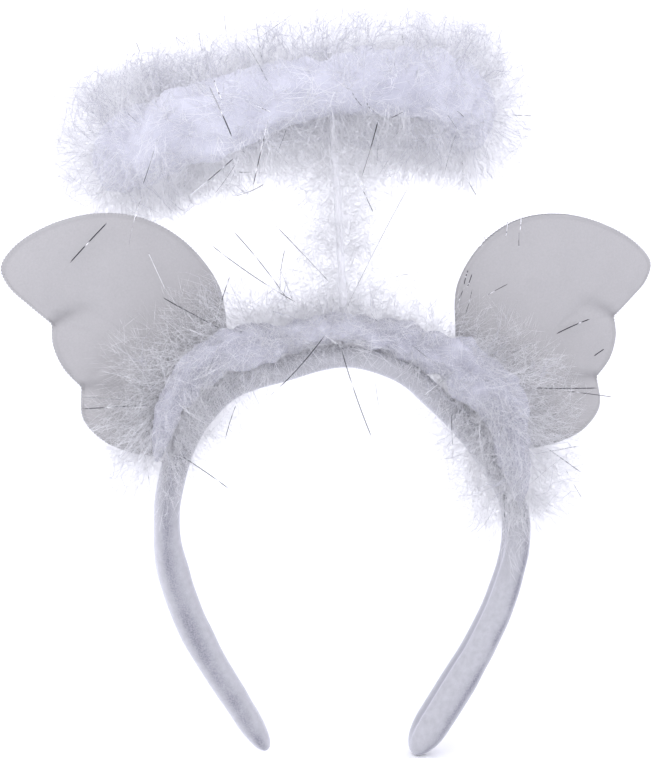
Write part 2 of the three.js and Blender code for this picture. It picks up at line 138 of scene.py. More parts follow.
# Halo, stem and trim
HALO_RADIUS = 66.0
HALO_ACROSS = -7.0
HALO_HEIGHT = 92.7
HALO_FRONT = 8.0
HALO_FRONT_RISE = 4.0
HALO_SIDE_DROOP = 4.4
HALO_SIDE_LEAN = 6.5
STEM_BOW = 0.35
WIRE_SEAT_DEPTH = 4.6
HALO_SEAT_DEPTH = 6.0
TRIM_ROUTE = [
    {"along": -0.4, "lift": 0.6, "front": 0.5, "core": 0.4, "fluff": 1.7, "skirt": 0.65},
    {"along": -0.31, "lift": 0.95, "front": 0.75, "core": 0.76, "fluff": 2.1, "skirt": 0.72},
    {"along": -0.2, "lift": 1.0, "front": 0.6, "core": 0.74, "fluff": 1.9, "skirt": 0.72},
    {"along": -0.1, "lift": 0.8, "front": 0.25, "core": 0.5, "fluff": 1.2, "skirt": 0.65},
    {"along": 0.0, "lift": 0.72, "front": 0.12, "core": 0.42, "fluff": 1.0, "skirt": 0.5},
    {"along": 0.1, "lift": 0.78, "front": 0.15, "core": 0.48, "fluff": 1.2, "skirt": 0.6},
    {"along": 0.19, "lift": 1.0, "front": 0.5, "core": 0.74, "fluff": 1.8, "skirt": 0.9},
    {"along": 0.28, "lift": 1.0, "front": 0.75, "core": 0.84, "fluff": 2.2, "skirt": 1.05},
    {"along": 0.37, "lift": 0.35, "front": 0.9, "core": 0.7, "fluff": 2.0, "skirt": 1.05},
    {"along": 0.455, "lift": -0.05, "front": 0.9, "core": 0.42, "fluff": 1.6, "skirt": 1.0},
]

HALO_CORE = 11.5
HALO_ROOT = 10.5
HALO_FLUFF = [
    {"share": 0.0, "core": 0.95, "reach": 20.0, "top": 0.38},
    {"share": 0.13, "core": 1.1, "reach": 22.0, "top": 0.25},
    {"share": 0.25, "core": 1.25, "reach": 24.0, "top": 0.0},
    {"share": 0.5, "core": 1.2, "reach": 23.0, "top": 0.2},
    {"share": 0.75, "core": 1.25, "reach": 25.0, "top": -0.12},
    {"share": 0.87, "core": 1.25, "reach": 23.0, "top": 0.0},
    {"share": 1.0, "core": 0.95, "reach": 20.0, "top": 0.38},
]
STEM_CORE = 1.5
TRIM_FLOW = 0.7
FREE_REACH = 29.0
LAST_REACH = 8.0

# Barbs
# each: how many share a tuft. start, spread and length: where a tuft starts above the core, how far up the
# tuft its barbs start, and how long they are, as shares of its reach. lean, rise and splay: how the tufts
# and the barbs stray. curl, hook and sag: bends and droop. girth: half width. pale: paleness, lowered as
# painted shade, most for the wisps. stations: points along each barb.
DOWN = {
    "each": 14, "start": 0.0, "spread": 0.88, "length": 0.42, "lean": 0.6, "rise": 0.04, "splay": 0.75,
    "girth": 0.066, "curl": 0.7, "hook": 0.6, "sag": 0.04, "pale": 1.0, "stations": 3,
}
BARB = {
    "each": 12, "start": 0.0, "spread": 0.0, "length": 1.0, "lean": 0.6, "rise": 0.08, "splay": 0.3,
    "girth": 0.1, "curl": 0.6, "hook": 0.6, "sag": 0.1, "pale": 0.95, "stations": 5,
}
WISP = {
    "each": 6, "start": 0.55, "spread": 0.0, "length": 1.0, "lean": 0.8, "rise": 0.3, "splay": 0.1,
    "girth": 0.11, "curl": 1.3, "hook": 1.5, "sag": 0.0, "pale": 0.3, "stations": 7,
}
HALO_TUFTS = [
    {"kind": DOWN, "tufts": 1450, "short": 0.55, "long": 1.0},
    {"kind": BARB, "tufts": 100, "short": 0.8, "long": 1.1},
    {"kind": WISP, "tufts": 110, "short": 0.8, "long": 1.5},
]
TRIM_TUFTS = [
    {"kind": DOWN, "tufts": 2100, "short": 0.4, "long": 1.05},
    {"kind": BARB, "tufts": 60, "short": 0.7, "long": 1.0},
    {"kind": WISP, "tufts": 24, "short": 0.6, "long": 0.9},
]
STEM_TUFTS = [
    {"kind": DOWN, "tufts": 760},
    {"kind": BARB, "tufts": 40},
]
GOLDEN_ANGLE = 2.39996
PARTING = math.pi

# The photograph's view
PHOTO_WIDTH = 655
PHOTO_HEIGHT = 758
SENSOR = 36.0
FOCAL_PIXELS = 1851.85
VIEW_TURN = math.radians(-13)
VIEW_RISE = math.radians(8)
VIEW_DISTANCE = 700.0
VIEW_AIM = np.array([-6.8, 0.0, -4.37])


# Tinsel
# Strands that the photograph shows, by pixels of it: root and tip, the Y of both, the half width, and what
# the halves of a strand mirror from root to tip, d the dark of a room, g something grey and b a lamp
ON_LEFT = (-3.6, -4.2)
ON_RIGHT = (-3.4, -4.0)
HALO_TINSEL = [
    {"root": (209, 86), "tip": (232, 137), "y": (-24, -36), "girth": 0.24, "mirrors": "gd"},
    {"root": (268, 120), "tip": (253, 186), "y": (-24, -34), "girth": 0.2, "mirrors": "bd"},
    {"root": (234, 158), "tip": (188, 197), "y": (-26, -32), "girth": 0.18, "mirrors": "db"},
    {"root": (236, 163), "tip": (215, 193), "y": (-22, -30), "girth": 0.12, "mirrors": "gg"},
    {"root": (264, 184), "tip": (235, 196), "y": (-24, -30), "girth": 0.13, "mirrors": "dg"},
    {"root": (238, 172), "tip": (251, 172), "y": (-24, -28), "girth": 0.13, "mirrors": "dg"},
    {"root": (254, 105), "tip": (271, 112), "y": (-24, -32), "girth": 0.2, "mirrors": "bb"},
    {"root": (214, 80), "tip": (222, 100), "y": (-24, -32), "girth": 0.22, "mirrors": "bb"},
    {"root": (364, 97), "tip": (372, 112), "y": (-24, -32), "girth": 0.22, "mirrors": "bb"},
    {"root": (352, 92), "tip": (362, 106), "y": (-24, -32), "girth": 0.18, "mirrors": "bg"},
    {"root": (378, 121), "tip": (362, 176), "y": (-26, -32), "girth": 0.2, "mirrors": "dg"},
    {"root": (354, 170), "tip": (374, 214), "y": (-20, -26), "girth": 0.14, "mirrors": "bd"},
    {"root": (462, 170), "tip": (478, 198), "y": (20, 14), "girth": 0.13, "mirrors": "bd"},
    {"root": (492, 114), "tip": (533, 116), "y": (30, 30), "girth": 0.16, "mirrors": "bd"},
    {"root": (457, 111), "tip": (464, 117), "y": (-18, -24), "girth": 0.13, "mirrors": "gd"},
    {"root": (391, 118), "tip": (403, 112), "y": (-24, -30), "girth": 0.16, "mirrors": "dg"},
    {"root": (143, 62), "tip": (136, 42), "y": (30, 28), "girth": 0.12, "mirrors": "bd"},
    {"root": (227, 40), "tip": (224, 14), "y": (20, 18), "girth": 0.12, "mirrors": "bg"},
    {"root": (202, 52), "tip": (199, 32), "y": (20, 18), "girth": 0.12, "mirrors": "bg"},
    {"root": (262, 62), "tip": (256, 22), "y": (-10, -12), "girth": 0.11, "mirrors": "bg"},
    {"root": (262, 36), "tip": (297, 9), "y": (0, -2), "girth": 0.12, "mirrors": "gb"},
    {"root": (154, 150), "tip": (143, 184), "y": (-6, -10), "girth": 0.13, "mirrors": "gd"},
    {"root": (142, 196), "tip": (129, 246), "y": (-6, -10), "girth": 0.11, "mirrors": "bg"},
]
TRIM_TINSEL = [
    {"root": (108, 222), "tip": (70, 263), "y": ON_LEFT, "girth": 0.26, "mirrors": "dd"},
    {"root": (148, 252), "tip": (166, 291), "y": ON_LEFT, "girth": 0.17, "mirrors": "bb"},
    {"root": (221, 329), "tip": (162, 297), "y": (-14, -8), "girth": 0.19, "mirrors": "dd"},
    {"root": (216, 324), "tip": (230, 276), "y": (-10, -14), "girth": 0.17, "mirrors": "gd"},
    {"root": (150, 405), "tip": (81, 409), "y": (-12, -6), "girth": 0.2, "mirrors": "dd"},
    {"root": (142, 402), "tip": (80, 397), "y": (-12, -6), "girth": 0.15, "mirrors": "gg"},
    {"root": (178, 454), "tip": (229, 489), "y": (-10, -18), "girth": 0.19, "mirrors": "dd"},
    {"root": (236, 405), "tip": (225, 440), "y": (-10, -14), "girth": 0.15, "mirrors": "dd"},
    {"root": (346, 351), "tip": (325, 335), "y": (-14, -18), "girth": 0.2, "mirrors": "bb"},
    {"root": (325, 335), "tip": (270, 396), "y": (-18, -20), "girth": 0.18, "mirrors": "dd"},
    {"root": (341, 348), "tip": (372, 438), "y": (-14, -16), "girth": 0.19, "mirrors": "dd"},
    {"root": (590, 319), "tip": (556, 334), "y": ON_RIGHT, "girth": 0.22, "mirrors": "dd"},
    {"root": (604, 349), "tip": (594, 356), "y": ON_RIGHT, "girth": 0.22, "mirrors": "dd"},
    {"root": (528, 388), "tip": (598, 388), "y": (-9, -5), "girth": 0.21, "mirrors": "dd"},
    {"root": (567, 391), "tip": (613, 397), "y": (-8, -4.6), "girth": 0.17, "mirrors": "dd"},
    {"root": (512, 424), "tip": (582, 473), "y": (-16, -14), "girth": 0.18, "mirrors": "bd"},
    {"root": (566, 470), "tip": (583, 500), "y": (-14, -14), "girth": 0.11, "mirrors": "bd"},
    {"root": (452, 414), "tip": (453, 446), "y": (-22, -26), "girth": 0.13, "mirrors": "dg"},
    {"root": (468, 270), "tip": (464, 285), "y": (-4, -6), "girth": 0.18, "mirrors": "dd"},
    {"root": (472, 274), "tip": (467, 288), "y": (-4, -6), "girth": 0.18, "mirrors": "dd"},
    {"root": (463, 290), "tip": (455, 310), "y": (-5, -8), "girth": 0.15, "mirrors": "dg"},
    {"root": (519, 232), "tip": (519, 248), "y": ON_RIGHT, "girth": 0.13, "mirrors": "gd"},
    {"root": (486, 296), "tip": (508, 284), "y": (-8, -4.6), "girth": 0.13, "mirrors": "bd"},
    {"root": (521, 216), "tip": (520, 231), "y": (-2.6, -3.4), "girth": 0.17, "mirrors": "bb"},
    {"root": (508, 221), "tip": (506, 237), "y": (-2.6, -3.4), "girth": 0.17, "mirrors": "bb"},
    {"root": (486, 234), "tip": (480, 247), "y": (-2.8, -3.6), "girth": 0.17, "mirrors": "bb"},
    {"root": (500, 374), "tip": (531, 401), "y": (-14, -10), "girth": 0.2, "mirrors": "bb"},
    {"root": (511, 353), "tip": (536, 342), "y": (-10, -7), "girth": 0.12, "mirrors": "dg"},
    {"root": (504, 494), "tip": (505, 522), "y": (-16, -18), "girth": 0.14, "mirrors": "dd"},
]
STEM_TINSEL = [
    {"root": (342, 318), "tip": (408, 188), "y": (-4, -14), "girth": 0.13, "mirrors": "gg"},
    {"root": (297, 303), "tip": (210, 244), "y": (-8, -16), "girth": 0.16, "mirrors": "dd"},
    {"root": (289, 302), "tip": (233, 231), "y": (-6, -14), "girth": 0.17, "mirrors": "dd"},
    {"root": (330, 283), "tip": (274, 224), "y": (-4, -16), "girth": 0.15, "mirrors": "gd"},
    {"root": (280, 292), "tip": (285, 249), "y": (-8, -10), "girth": 0.12, "mirrors": "gd"},
]
LOOSE_TINSEL = {"halo": 46, "trim": 30}
# Painted reflection: the tone for each letter, and the chance of a painted glint that turns a tone round.
MIRRORED = {"d": 0.0, "g": 0.4, "b": 1.0}
GLINT_CHANCE = 0.14


# Curves and arrays
def unit(vectors):
    """Vectors divided by their own lengths."""
    return vectors / np.maximum(np.linalg.norm(vectors, axis=-1, keepdims=True), 1e-12)


def smooth_line(points, steps):
    """Centripetal Catmull-Rom curve. In each span a cubic joins two points, and its slope at each of them
    is made of the chords on both sides, each divided by the square root of its length."""
    points = np.asarray(points, float)
    p = np.vstack([2 * points[0] - points[1], points, 2 * points[-1] - points[-2]])
    root = np.sqrt(np.linalg.norm(np.diff(p, axis=0), axis=1))[:, None]
    before, here, after = root[:-2], root[1:-1], root[2:]
    p0, p1, p2, p3 = p[:-3], p[1:-2], p[2:-1], p[3:]
    leave = here * ((p1 - p0) / before - (p2 - p0) / (before + here) + (p2 - p1) / here)
    arrive = here * ((p2 - p1) / here - (p3 - p1) / (here + after) + (p3 - p2) / after)
    t = np.linspace(0, 1, steps, endpoint=False)[None, :, None]
    line = (
        p1[:, None] * (1 - 3 * t**2 + 2 * t**3)
        + p2[:, None] * (3 * t**2 - 2 * t**3)
        + leave[:, None] * (t - 2 * t**2 + t**3)
        + arrive[:, None] * (t**3 - t**2)
    )
    return np.vstack([line.reshape(-1, points.shape[1]), points[-1:]])


def lengths(line):
    """Distance from the start of a line to each of its points, along it."""
    return np.concatenate([[0.0], np.cumsum(np.linalg.norm(np.diff(line, axis=0), axis=1))])


def at_share(line, share):
    """Points at shares of a line's length, in straight steps between its points."""
    run = lengths(line)
    columns = [np.interp(share * run[-1], run, line[:, k]) for k in range(line.shape[1])]
    return np.stack(columns, -1)


def eased(rows, key, place, by="along"):
    """A named column of a table at a place, with the curve 3t^2 - 2t^3 between two rows."""
    places = np.array([row[by] for row in rows])
    values = np.array([row[key] for row in rows])
    place = np.clip(place, places[0], places[-1])
    i = np.clip(np.searchsorted(places, place) - 1, 0, len(rows) - 2)
    t = (place - places[i]) / (places[i + 1] - places[i])
    return values[i] + (values[i + 1] - values[i]) * (3 * t**2 - 2 * t**3)


def waves(points, size, seed, octaves=3):
    """Smooth noise about -1 to 1: sums of sines along random directions, each octave half as big and twice
    as fine."""
    rng = np.random.default_rng(seed)
    total = np.zeros(points.shape[:-1])
    for octave in range(octaves):
        directions = unit(rng.normal(size=(7, 3))) * (2 * math.pi / size) * 2**octave
        phases = rng.uniform(0, 2 * math.pi, 7)
        total += np.sin(points @ directions.T + phases).sum(-1) / 3.5 / 2**octave
    return total


# Meshes
def make_piece(name, points, faces, material, layers=None):
    """Mesh object of points in millimetres. faces is one array, or a list of arrays of triangles and
    quads."""
    groups = faces if isinstance(faces, list) else [faces]
    mesh = bpy.data.meshes.new(name)
    mesh.vertices.add(len(points))
    mesh.vertices.foreach_set("co", (points * MM).astype(np.float32).ravel())
    corners = np.concatenate([group.ravel() for group in groups])
    counts = np.concatenate([np.full(len(group), group.shape[1]) for group in groups])
    mesh.loops.add(len(corners))
    mesh.loops.foreach_set("vertex_index", corners.astype(np.int32))
    mesh.polygons.add(len(counts))
    starts = np.concatenate([[0], np.cumsum(counts)[:-1]])
    mesh.polygons.foreach_set("loop_start", starts.astype(np.int32))
    mesh.polygons.foreach_set("use_smooth", np.ones(len(counts), bool))
    mesh.update(calc_edges=True)
    for layer, values in (layers or {}).items():
        attribute = mesh.attributes.new(layer, "FLOAT", "POINT")
        attribute.data.foreach_set("value", values.astype(np.float32).ravel())
    mesh.materials.append(material)
    piece = bpy.data.objects.new(name, mesh)
    bpy.context.scene.collection.objects.link(piece)
    return piece


def ring_faces(rings, sides, loop=False):
    """Quads between neighbouring rings of points, and between the last and the first when the rings run in
    a loop."""
    i = np.arange(rings if loop else rings - 1)[:, None]
    j = np.arange(sides)[None, :]
    here, ahead = i * sides, ((i + 1) % rings) * sides
    aside = (j + 1) % sides
    return np.stack([here + j, here + aside, ahead + aside, ahead + j], -1).reshape(-1, 4)


def capped(grid):
    """A grid of rings with a middle point at each end. Returns the points, the quads and the triangles."""
    rings, sides = grid.shape[:2]
    points = np.vstack([grid.reshape(-1, 3), grid[0].mean(0), grid[-1].mean(0)])
    j = np.arange(sides)
    k = (j + 1) % sides
    last = (rings - 1) * sides
    start = np.stack([k, j, np.full(sides, rings * sides)], -1)
    end = np.stack([last + j, last + k, np.full(sides, rings * sides + 1)], -1)
    return points, [ring_faces(rings, sides), np.vstack([start, end])]


def on_object(piece, node):
    """Carries a finished piece on the one body and hides the solid that it stands for."""
    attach(piece, "root")
    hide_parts(node)


# Materials
def new_material(name):
    """A new material, its nodes, its links and its shader."""
    material = bpy.data.materials.new(name)
    material.use_nodes = True
    nodes = material.node_tree.nodes
    shader = nodes["Principled BSDF"]
    return material, nodes, material.node_tree.links, shader


def noise(nodes, links, source, scale, detail=2.0, roughness=0.5):
    """Noise of so many waves a metre."""
    node = nodes.new("ShaderNodeTexNoise")
    node.inputs["Scale"].default_value = scale
    node.inputs["Detail"].default_value = detail
    node.inputs["Roughness"].default_value = roughness
    links.new(source, node.inputs["Vector"])
    return node.outputs["Fac"]


def ramp(nodes, links, source, low, high, start=0.0, end=1.0):
    """Colour from low to high as the source goes from start to end."""
    node = nodes.new("ShaderNodeValToRGB")
    node.color_ramp.elements[0].position = start
    node.color_ramp.elements[0].color = (*low, 1)
    node.color_ramp.elements[1].position = end
    node.color_ramp.elements[1].color = (*high, 1)
    links.new(source, node.inputs["Fac"])
    return node.outputs["Color"]


def blend_colours(nodes, links, amount, first, second):
    """The first colour, with an amount of the second mixed in."""
    node = nodes.new("ShaderNodeMix")
    node.data_type = "RGBA"
    for value, socket in ((amount, node.inputs[0]), (first, node.inputs[6]), (second, node.inputs[7])):
        if isinstance(value, bpy.types.NodeSocket):
            links.new(value, socket)
        elif isinstance(value, tuple):
            socket.default_value = (*value, 1)
        else:
            socket.default_value = value
    return node.outputs[2]


def times(nodes, links, first, second):
    """Product of two values."""
    node = nodes.new("ShaderNodeMath")
    node.operation = "MULTIPLY"
    for value, socket in ((first, node.inputs[0]), (second, node.inputs[1])):
        if isinstance(value, bpy.types.NodeSocket):
            links.new(value, socket)
        else:
            socket.default_value = value
    return node.outputs[0]


def layer_value(nodes, name):
    """A layer of numbers that the mesh carries."""
    node = nodes.new("ShaderNodeAttribute")
    node.attribute_name = name
    return node.outputs["Fac"]


def raised(nodes, links, shader, height, strength, distance):
    """Fine relief from a height."""
    bump = nodes.new("ShaderNodeBump")
    bump.inputs["Strength"].default_value = strength
    bump.inputs["Distance"].default_value = distance
    links.new(height, bump.inputs["Height"])
    links.new(bump.outputs["Normal"], shader.inputs["Normal"])


def velvet_material():
    """Short-pile velvet: lilac-grey, pale where the pile is seen from the side, with a speckled streak of
    painted shade along the front where the pile faces the camera, and painted shade in the seam."""
    material, nodes, links, shader = new_material("white_velvet")
    place = nodes.new("ShaderNodeTexCoord").outputs["Object"]
    mottle = noise(nodes, links, place, 420.0, 3.0, 0.6)
    pile = ramp(nodes, links, mottle, (0.405, 0.405, 0.42), (0.47, 0.47, 0.49), 0.3, 0.7)
    grains = noise(nodes, links, place, 1900.0, 2.0, 0.7)
    specks = ramp(nodes, links, grains, (0.5, 0.5, 0.5), (1, 1, 1), 0.42, 0.62)
    # Painted shade: dark specks in a streak along the front, where the pile faces the camera.
    shade_streak = times(nodes, links, layer_value(nodes, "shade_streak"), specks)
    colour = blend_colours(nodes, links, shade_streak, pile, (0.14, 0.14, 0.18))
    # Painted shade: the seam's groove is darkened in the colour.
    seam_and_shade = layer_value(nodes, "seam_and_shade")
    colour = blend_colours(nodes, links, seam_and_shade, colour, (0.24, 0.24, 0.27))
    links.new(colour, shader.inputs["Base Color"])
    shader.inputs["Roughness"].default_value = 0.85
    shader.inputs["Specular IOR Level"].default_value = 0.15
    shader.inputs["Sheen Weight"].default_value = 0.9
    shader.inputs["Sheen Roughness"].default_value = 0.45
    shader.inputs["Sheen Tint"].default_value = (0.93, 0.93, 1.0, 1.0)
    raised(nodes, links, shader, grains, 0.35, 0.0004)
    return material


def felt_material():
    """Brushed off-white felt: a fine tangle of fibres, with painted shade in its creases and its rim's
    channel.
    """
    material, nodes, links, shader = new_material("white_felt")
    place = nodes.new("ShaderNodeTexCoord").outputs["Object"]
    cloud = noise(nodes, links, place, 60.0, 3.0, 0.6)
    colour = ramp(nodes, links, cloud, (0.398, 0.39, 0.388), (0.423, 0.415, 0.412), 0.3, 0.7)
    fibres = noise(nodes, links, place, 1500.0, 4.0, 0.75)
    tangle = ramp(nodes, links, fibres, (0.348, 0.34, 0.338), (0.468, 0.46, 0.458), 0.3, 0.7)
    colour = blend_colours(nodes, links, 0.4, colour, tangle)
    # Painted shade: darker in the creases and along the sewn channel by the rim.
    colour = blend_colours(nodes, links, layer_value(nodes, "crease_and_shade"), colour, (0.25, 0.245, 0.25))
    links.new(colour, shader.inputs["Base Color"])
    shader.inputs["Roughness"].default_value = 0.95
    shader.inputs["Specular IOR Level"].default_value = 0.1
    shader.inputs["Sheen Weight"].default_value = 0.15
    shader.inputs["Sheen Roughness"].default_value = 0.5
    raised(nodes, links, shader, fibres, 0.15, 0.0002)
    return material


def thread_material():
    """Twisted sewing thread, a little darker than the felt."""
    material, nodes, links, shader = new_material("white_thread")
    place = nodes.new("ShaderNodeTexCoord").outputs["Object"]
    twist = noise(nodes, links, place, 2500.0, 1.0, 0.5)
    colour = ramp(nodes, links, twist, (0.34, 0.34, 0.34), (0.48, 0.48, 0.48), 0.35, 0.65)
    links.new(colour, shader.inputs["Base Color"])
    shader.inputs["Roughness"].default_value = 0.8
    return material


def feather_material(name, deep, pale, glow):
    """Marabou: cool white barbs, darker towards the root as painted shade, and pale where down is seen from
    the side. The layer tone is 0 at its deepest and 1 at its palest."""
    material, nodes, links, shader = new_material(name)
    place = nodes.new("ShaderNodeTexCoord").outputs["Object"]
    links.new(ramp(nodes, links, layer_value(nodes, "tone"), deep, pale), shader.inputs["Base Color"])
    shader.inputs["Roughness"].default_value = 1.0
    shader.inputs["Specular IOR Level"].default_value = 0.05
    shader.inputs["Sheen Weight"].default_value = glow
    shader.inputs["Sheen Roughness"].default_value = 0.6
    shader.inputs["Sheen Tint"].default_value = (0.97, 0.97, 1.0, 1.0)
    raised(nodes, links, shader, noise(nodes, links, place, 900.0, 3.0, 0.7), 0.25, 0.0004)
    return material


def tinsel_material():
    """Metallised film. The layer tone is 0 where a strand mirrors the dark of a room and 1 where it mirrors
    a lamp."""
    material, nodes, links, shader = new_material("silver_film")
    tone = layer_value(nodes, "tone")
    colour = ramp(nodes, links, tone, (0.05, 0.05, 0.06), (1.0, 1.0, 1.0))
    links.new(colour, shader.inputs["Base Color"])
    shader.inputs["Metallic"].default_value = 1.0
    shader.inputs["Roughness"].default_value = 0.25
    return material


def wire_material():
    """Drawn steel wire with fine lengthwise marks."""
    material, nodes, links, shader = new_material("drawn_wire")
    place = nodes.new("ShaderNodeTexCoord").outputs["Object"]
    marks = noise(nodes, links, place, 900.0, 3.0, 0.6)
    colour = ramp(nodes, links, marks, (0.62, 0.62, 0.66), (0.8, 0.8, 0.83))
    links.new(colour, shader.inputs["Base Color"])
    shader.inputs["Metallic"].default_value = 0.9
    shader.inputs["Roughness"].default_value = 0.4
    return material


# Band
CROWN = np.array([0.0, 0.0, STRIP_CROWN_THICKNESS / 2])


def leg_points(rows, side):
    """Points of a leg's centre line, from its table."""
    out = np.array([row["out"] for row in rows])
    down = np.array([row["down"] for row in rows])
    return np.stack([side * out * BAND_HALF_WIDTH, 0 * out, CROWN[2] - down * BAND_DROP], -1)


BAND_LINE = smooth_line(np.vstack([leg_points(LEFT_LEG, -1)[::-1], CROWN, leg_points(RIGHT_LEG, 1)]), 60)
CROWN_SHARE = lengths(BAND_LINE)[len(LEFT_LEG) * 60] / lengths(BAND_LINE)[-1]


def band_at(along):
    """Point, tangent and outward direction of the strip, and half its thickness and width, at shares of a
    leg's length from the crown, minus on the left."""
    share = np.where(along < 0, CROWN_SHARE * (1 + along), CROWN_SHARE + along * (1 - CROWN_SHARE))
    share = np.clip(share, 0, 1)
    step = 0.002
    ahead = at_share(BAND_LINE, np.clip(share + step, 0, 1))
    tangent = unit(ahead - at_share(BAND_LINE, np.clip(share - step, 0, 1)))
    outward = np.stack([-tangent[..., 2], 0 * share, tangent[..., 0]], -1)
    upper = np.minimum(1, np.abs(along) * 2)
    lower = np.maximum(0, np.abs(along) * 2 - 1)
    thickness = STRIP_CROWN_THICKNESS + (STRIP_LEG_THICKNESS - STRIP_CROWN_THICKNESS) * upper
    width = STRIP_WIDTH + (STRIP_TIP_WIDTH - STRIP_WIDTH) * lower
    return at_share(BAND_LINE, share), tangent, outward, thickness / 2, width / 2


def make_headband():
    """The velvet sleeve. Each section is a superellipse, |across|^n + |through|^n = 1, carried along the
    strip and drawn in at the tips. The padding swells the lower legs by the tables. A seam is pressed into
    the middle of the inner face and darkened as painted shade, and a speckled streak of painted shade runs
    along the front, a little to its outer side, where the pile faces the camera."""
    sides = 64
    tip = TIP_LENGTH / (lengths(BAND_LINE)[-1] / 2)
    body = np.linspace(-1 + tip, 1 - tip, 280)
    into = np.sin(np.linspace(0, math.pi / 2, 18)[1:-1])
    along = np.concatenate([-(1 - tip + into[::-1] * tip), body, 1 - tip + into * tip])
    point, tangent, outward, half_thickness, half_width = band_at(along)
    down = (CROWN[2] - point[:, 2]) / BAND_DROP
    left, right = eased(LEFT_SWELL, "more", down, "down"), eased(RIGHT_SWELL, "more", down, "down")
    half_thickness = half_thickness + np.where(along < 0, left, right)
    intip = np.maximum(0, (np.abs(along) - 1 + tip) / tip)
    half_width = half_width * np.sqrt(1 - intip**2.4)
    half_thickness = half_thickness * (1 - TIP_THINNING * intip**1.6) * np.sqrt(1 - intip**6)
    turn = np.linspace(0, 2 * math.pi, sides, endpoint=False)
    power = 2 / STRIP_SQUARENESS
    across = np.sign(np.cos(turn)) * np.abs(np.cos(turn)) ** power
    through = np.sign(np.sin(turn)) * np.abs(np.sin(turn)) ** power
    # The seam mask presses the groove in and also sets its painted shade.
    crease = np.exp(-(((turn - 1.5 * math.pi) / 0.16) ** 2))
    depth = 0.25 + 0.75 * np.clip((np.abs(along) - 0.45) / 0.3, 0, 1)
    depth = depth * np.clip((1 - np.abs(along)) / (0.8 * tip), 0, 1)
    seam_and_shade = crease[None] * depth[:, None]
    grid = (
        point[:, None]
        + outward[:, None] * (half_thickness[:, None] * through[None])[..., None]
        + REAR * (half_width[:, None] * across[None])[..., None]
    )
    normal = unit(outward[:, None] * through[None, :, None] + REAR * (0.75 * across)[None, :, None])
    swell = 0.16 * waves(grid, 26.0, 5, 2) - 0.9 * seam_and_shade
    keep = np.clip((1 - np.abs(along)) / (0.6 * tip), 0, 1)
    grid = grid + normal * (swell * keep[:, None])[..., None]
    # Painted shade: a streak near the front-outer corner of each section, where the pile faces the camera,
    # left off the crown.
    corner = np.where(along < 0, 0.94, 0.885)[:, None] * math.pi
    breadth = np.where(along < 0, 0.36, 0.26)[:, None]
    off_crown = np.clip(np.abs(along)[:, None] * 4 - 0.6, 0, 1)
    streak = np.exp(-(((turn[None] - corner) / breadth) ** 2)) * off_crown
    shade_streak = streak * (0.75 + 0.25 * waves(grid, 18.0, 8, 2))
    points, faces = capped(grid)
    ends = np.zeros(2)
    # Layers of painted shade: the streak along the front and the darkened seam.
    layers = {
        "shade_streak": np.concatenate([np.clip(shade_streak, 0, 1).ravel(), ends]),
        "seam_and_shade": np.concatenate([seam_and_shade.ravel() * 0.7, ends]),
    }
    piece = make_piece("velvet_band", points, faces, velvet_material(), layers)
    on_object(piece, "headband")


# Wings
def wing_outline(wing, steps=12):
    """Outline in the XZ plane with the side taken as positive: three lobes as smooth curves through their
    rows, and then the root along the strip's outer face."""
    def place(rows):
        out, up = np.array(rows).T
        x = WING_ROOT_X + out * WING_SPAN + wing["slant"] * (2 * up - 1)
        return np.stack([x, WING_BASE_Z + up * WING_HEIGHT + wing["lift"]], -1)

    along = np.linspace(wing["root"][0], wing["root"][1], 30) * wing["side"]
    point, _, outward, half_thickness, _ = band_at(along)
    seat = point + outward * (half_thickness + ROOT_GAP)[:, None]
    root = np.stack([wing["side"] * seat[:, 0], seat[:, 2]], -1)
    parts = [smooth_line(place(rows), steps) for rows in (LOWER_LOBE, MIDDLE_LOBE, UPPER_LOBE)]
    outline = np.vstack([parts[0], parts[1][1:], parts[2][1:], root])
    return outline, place([WING_CENTRE])[0], place([MIDDLE_LOBE[0]])[0], place([UPPER_LOBE[0]])[0]


def puffed(points, faces, held):
    """Cloth simulation of a closed skin with wadding inside: the skin is blown up at ten times its size,
    with the held points pinned, and no point moves more than PUFF_MOST. Returns the points."""
    scale = 10.0
    mesh = bpy.data.meshes.new("puffing")
    mesh.from_pydata((points * MM * scale).tolist(), [], [f for group in faces for f in group.tolist()])
    cover = bpy.data.objects.new("puffing", mesh)
    bpy.context.scene.collection.objects.link(cover)
    pins = cover.vertex_groups.new(name="held")
    pins.add(np.flatnonzero(held).tolist(), 1.0, "REPLACE")
    cloth = cover.modifiers.new("puff", "CLOTH")
    settings = cloth.settings
    settings.quality = 6
    settings.mass = 0.3
    settings.tension_stiffness = 25
    settings.compression_stiffness = 20
    settings.bending_stiffness = 2.0
    settings.use_pressure = True
    settings.uniform_pressure_force = PUFF_PRESSURE
    settings.vertex_group_mass = "held"
    settings.effector_weights.gravity = 0
    cloth.collision_settings.use_collision = False
    cloth.point_cache.frame_end = PUFF_FRAMES
    for step in range(1, PUFF_FRAMES + 1):
        bpy.context.scene.frame_set(step)
    shape = cover.evaluated_get(bpy.context.evaluated_depsgraph_get()).data
    moved = np.empty(len(points) * 3)
    shape.vertices.foreach_get("co", moved)
    moved = moved.reshape(-1, 3) / (MM * scale)
    bpy.data.objects.remove(cover)
    bpy.data.meshes.remove(mesh)
    bpy.context.scene.frame_set(1)
    shift = moved - points
    reach = np.linalg.norm(shift, axis=1, keepdims=True)
    return points + shift * np.minimum(1, PUFF_MOST / np.maximum(reach, 1e-9))


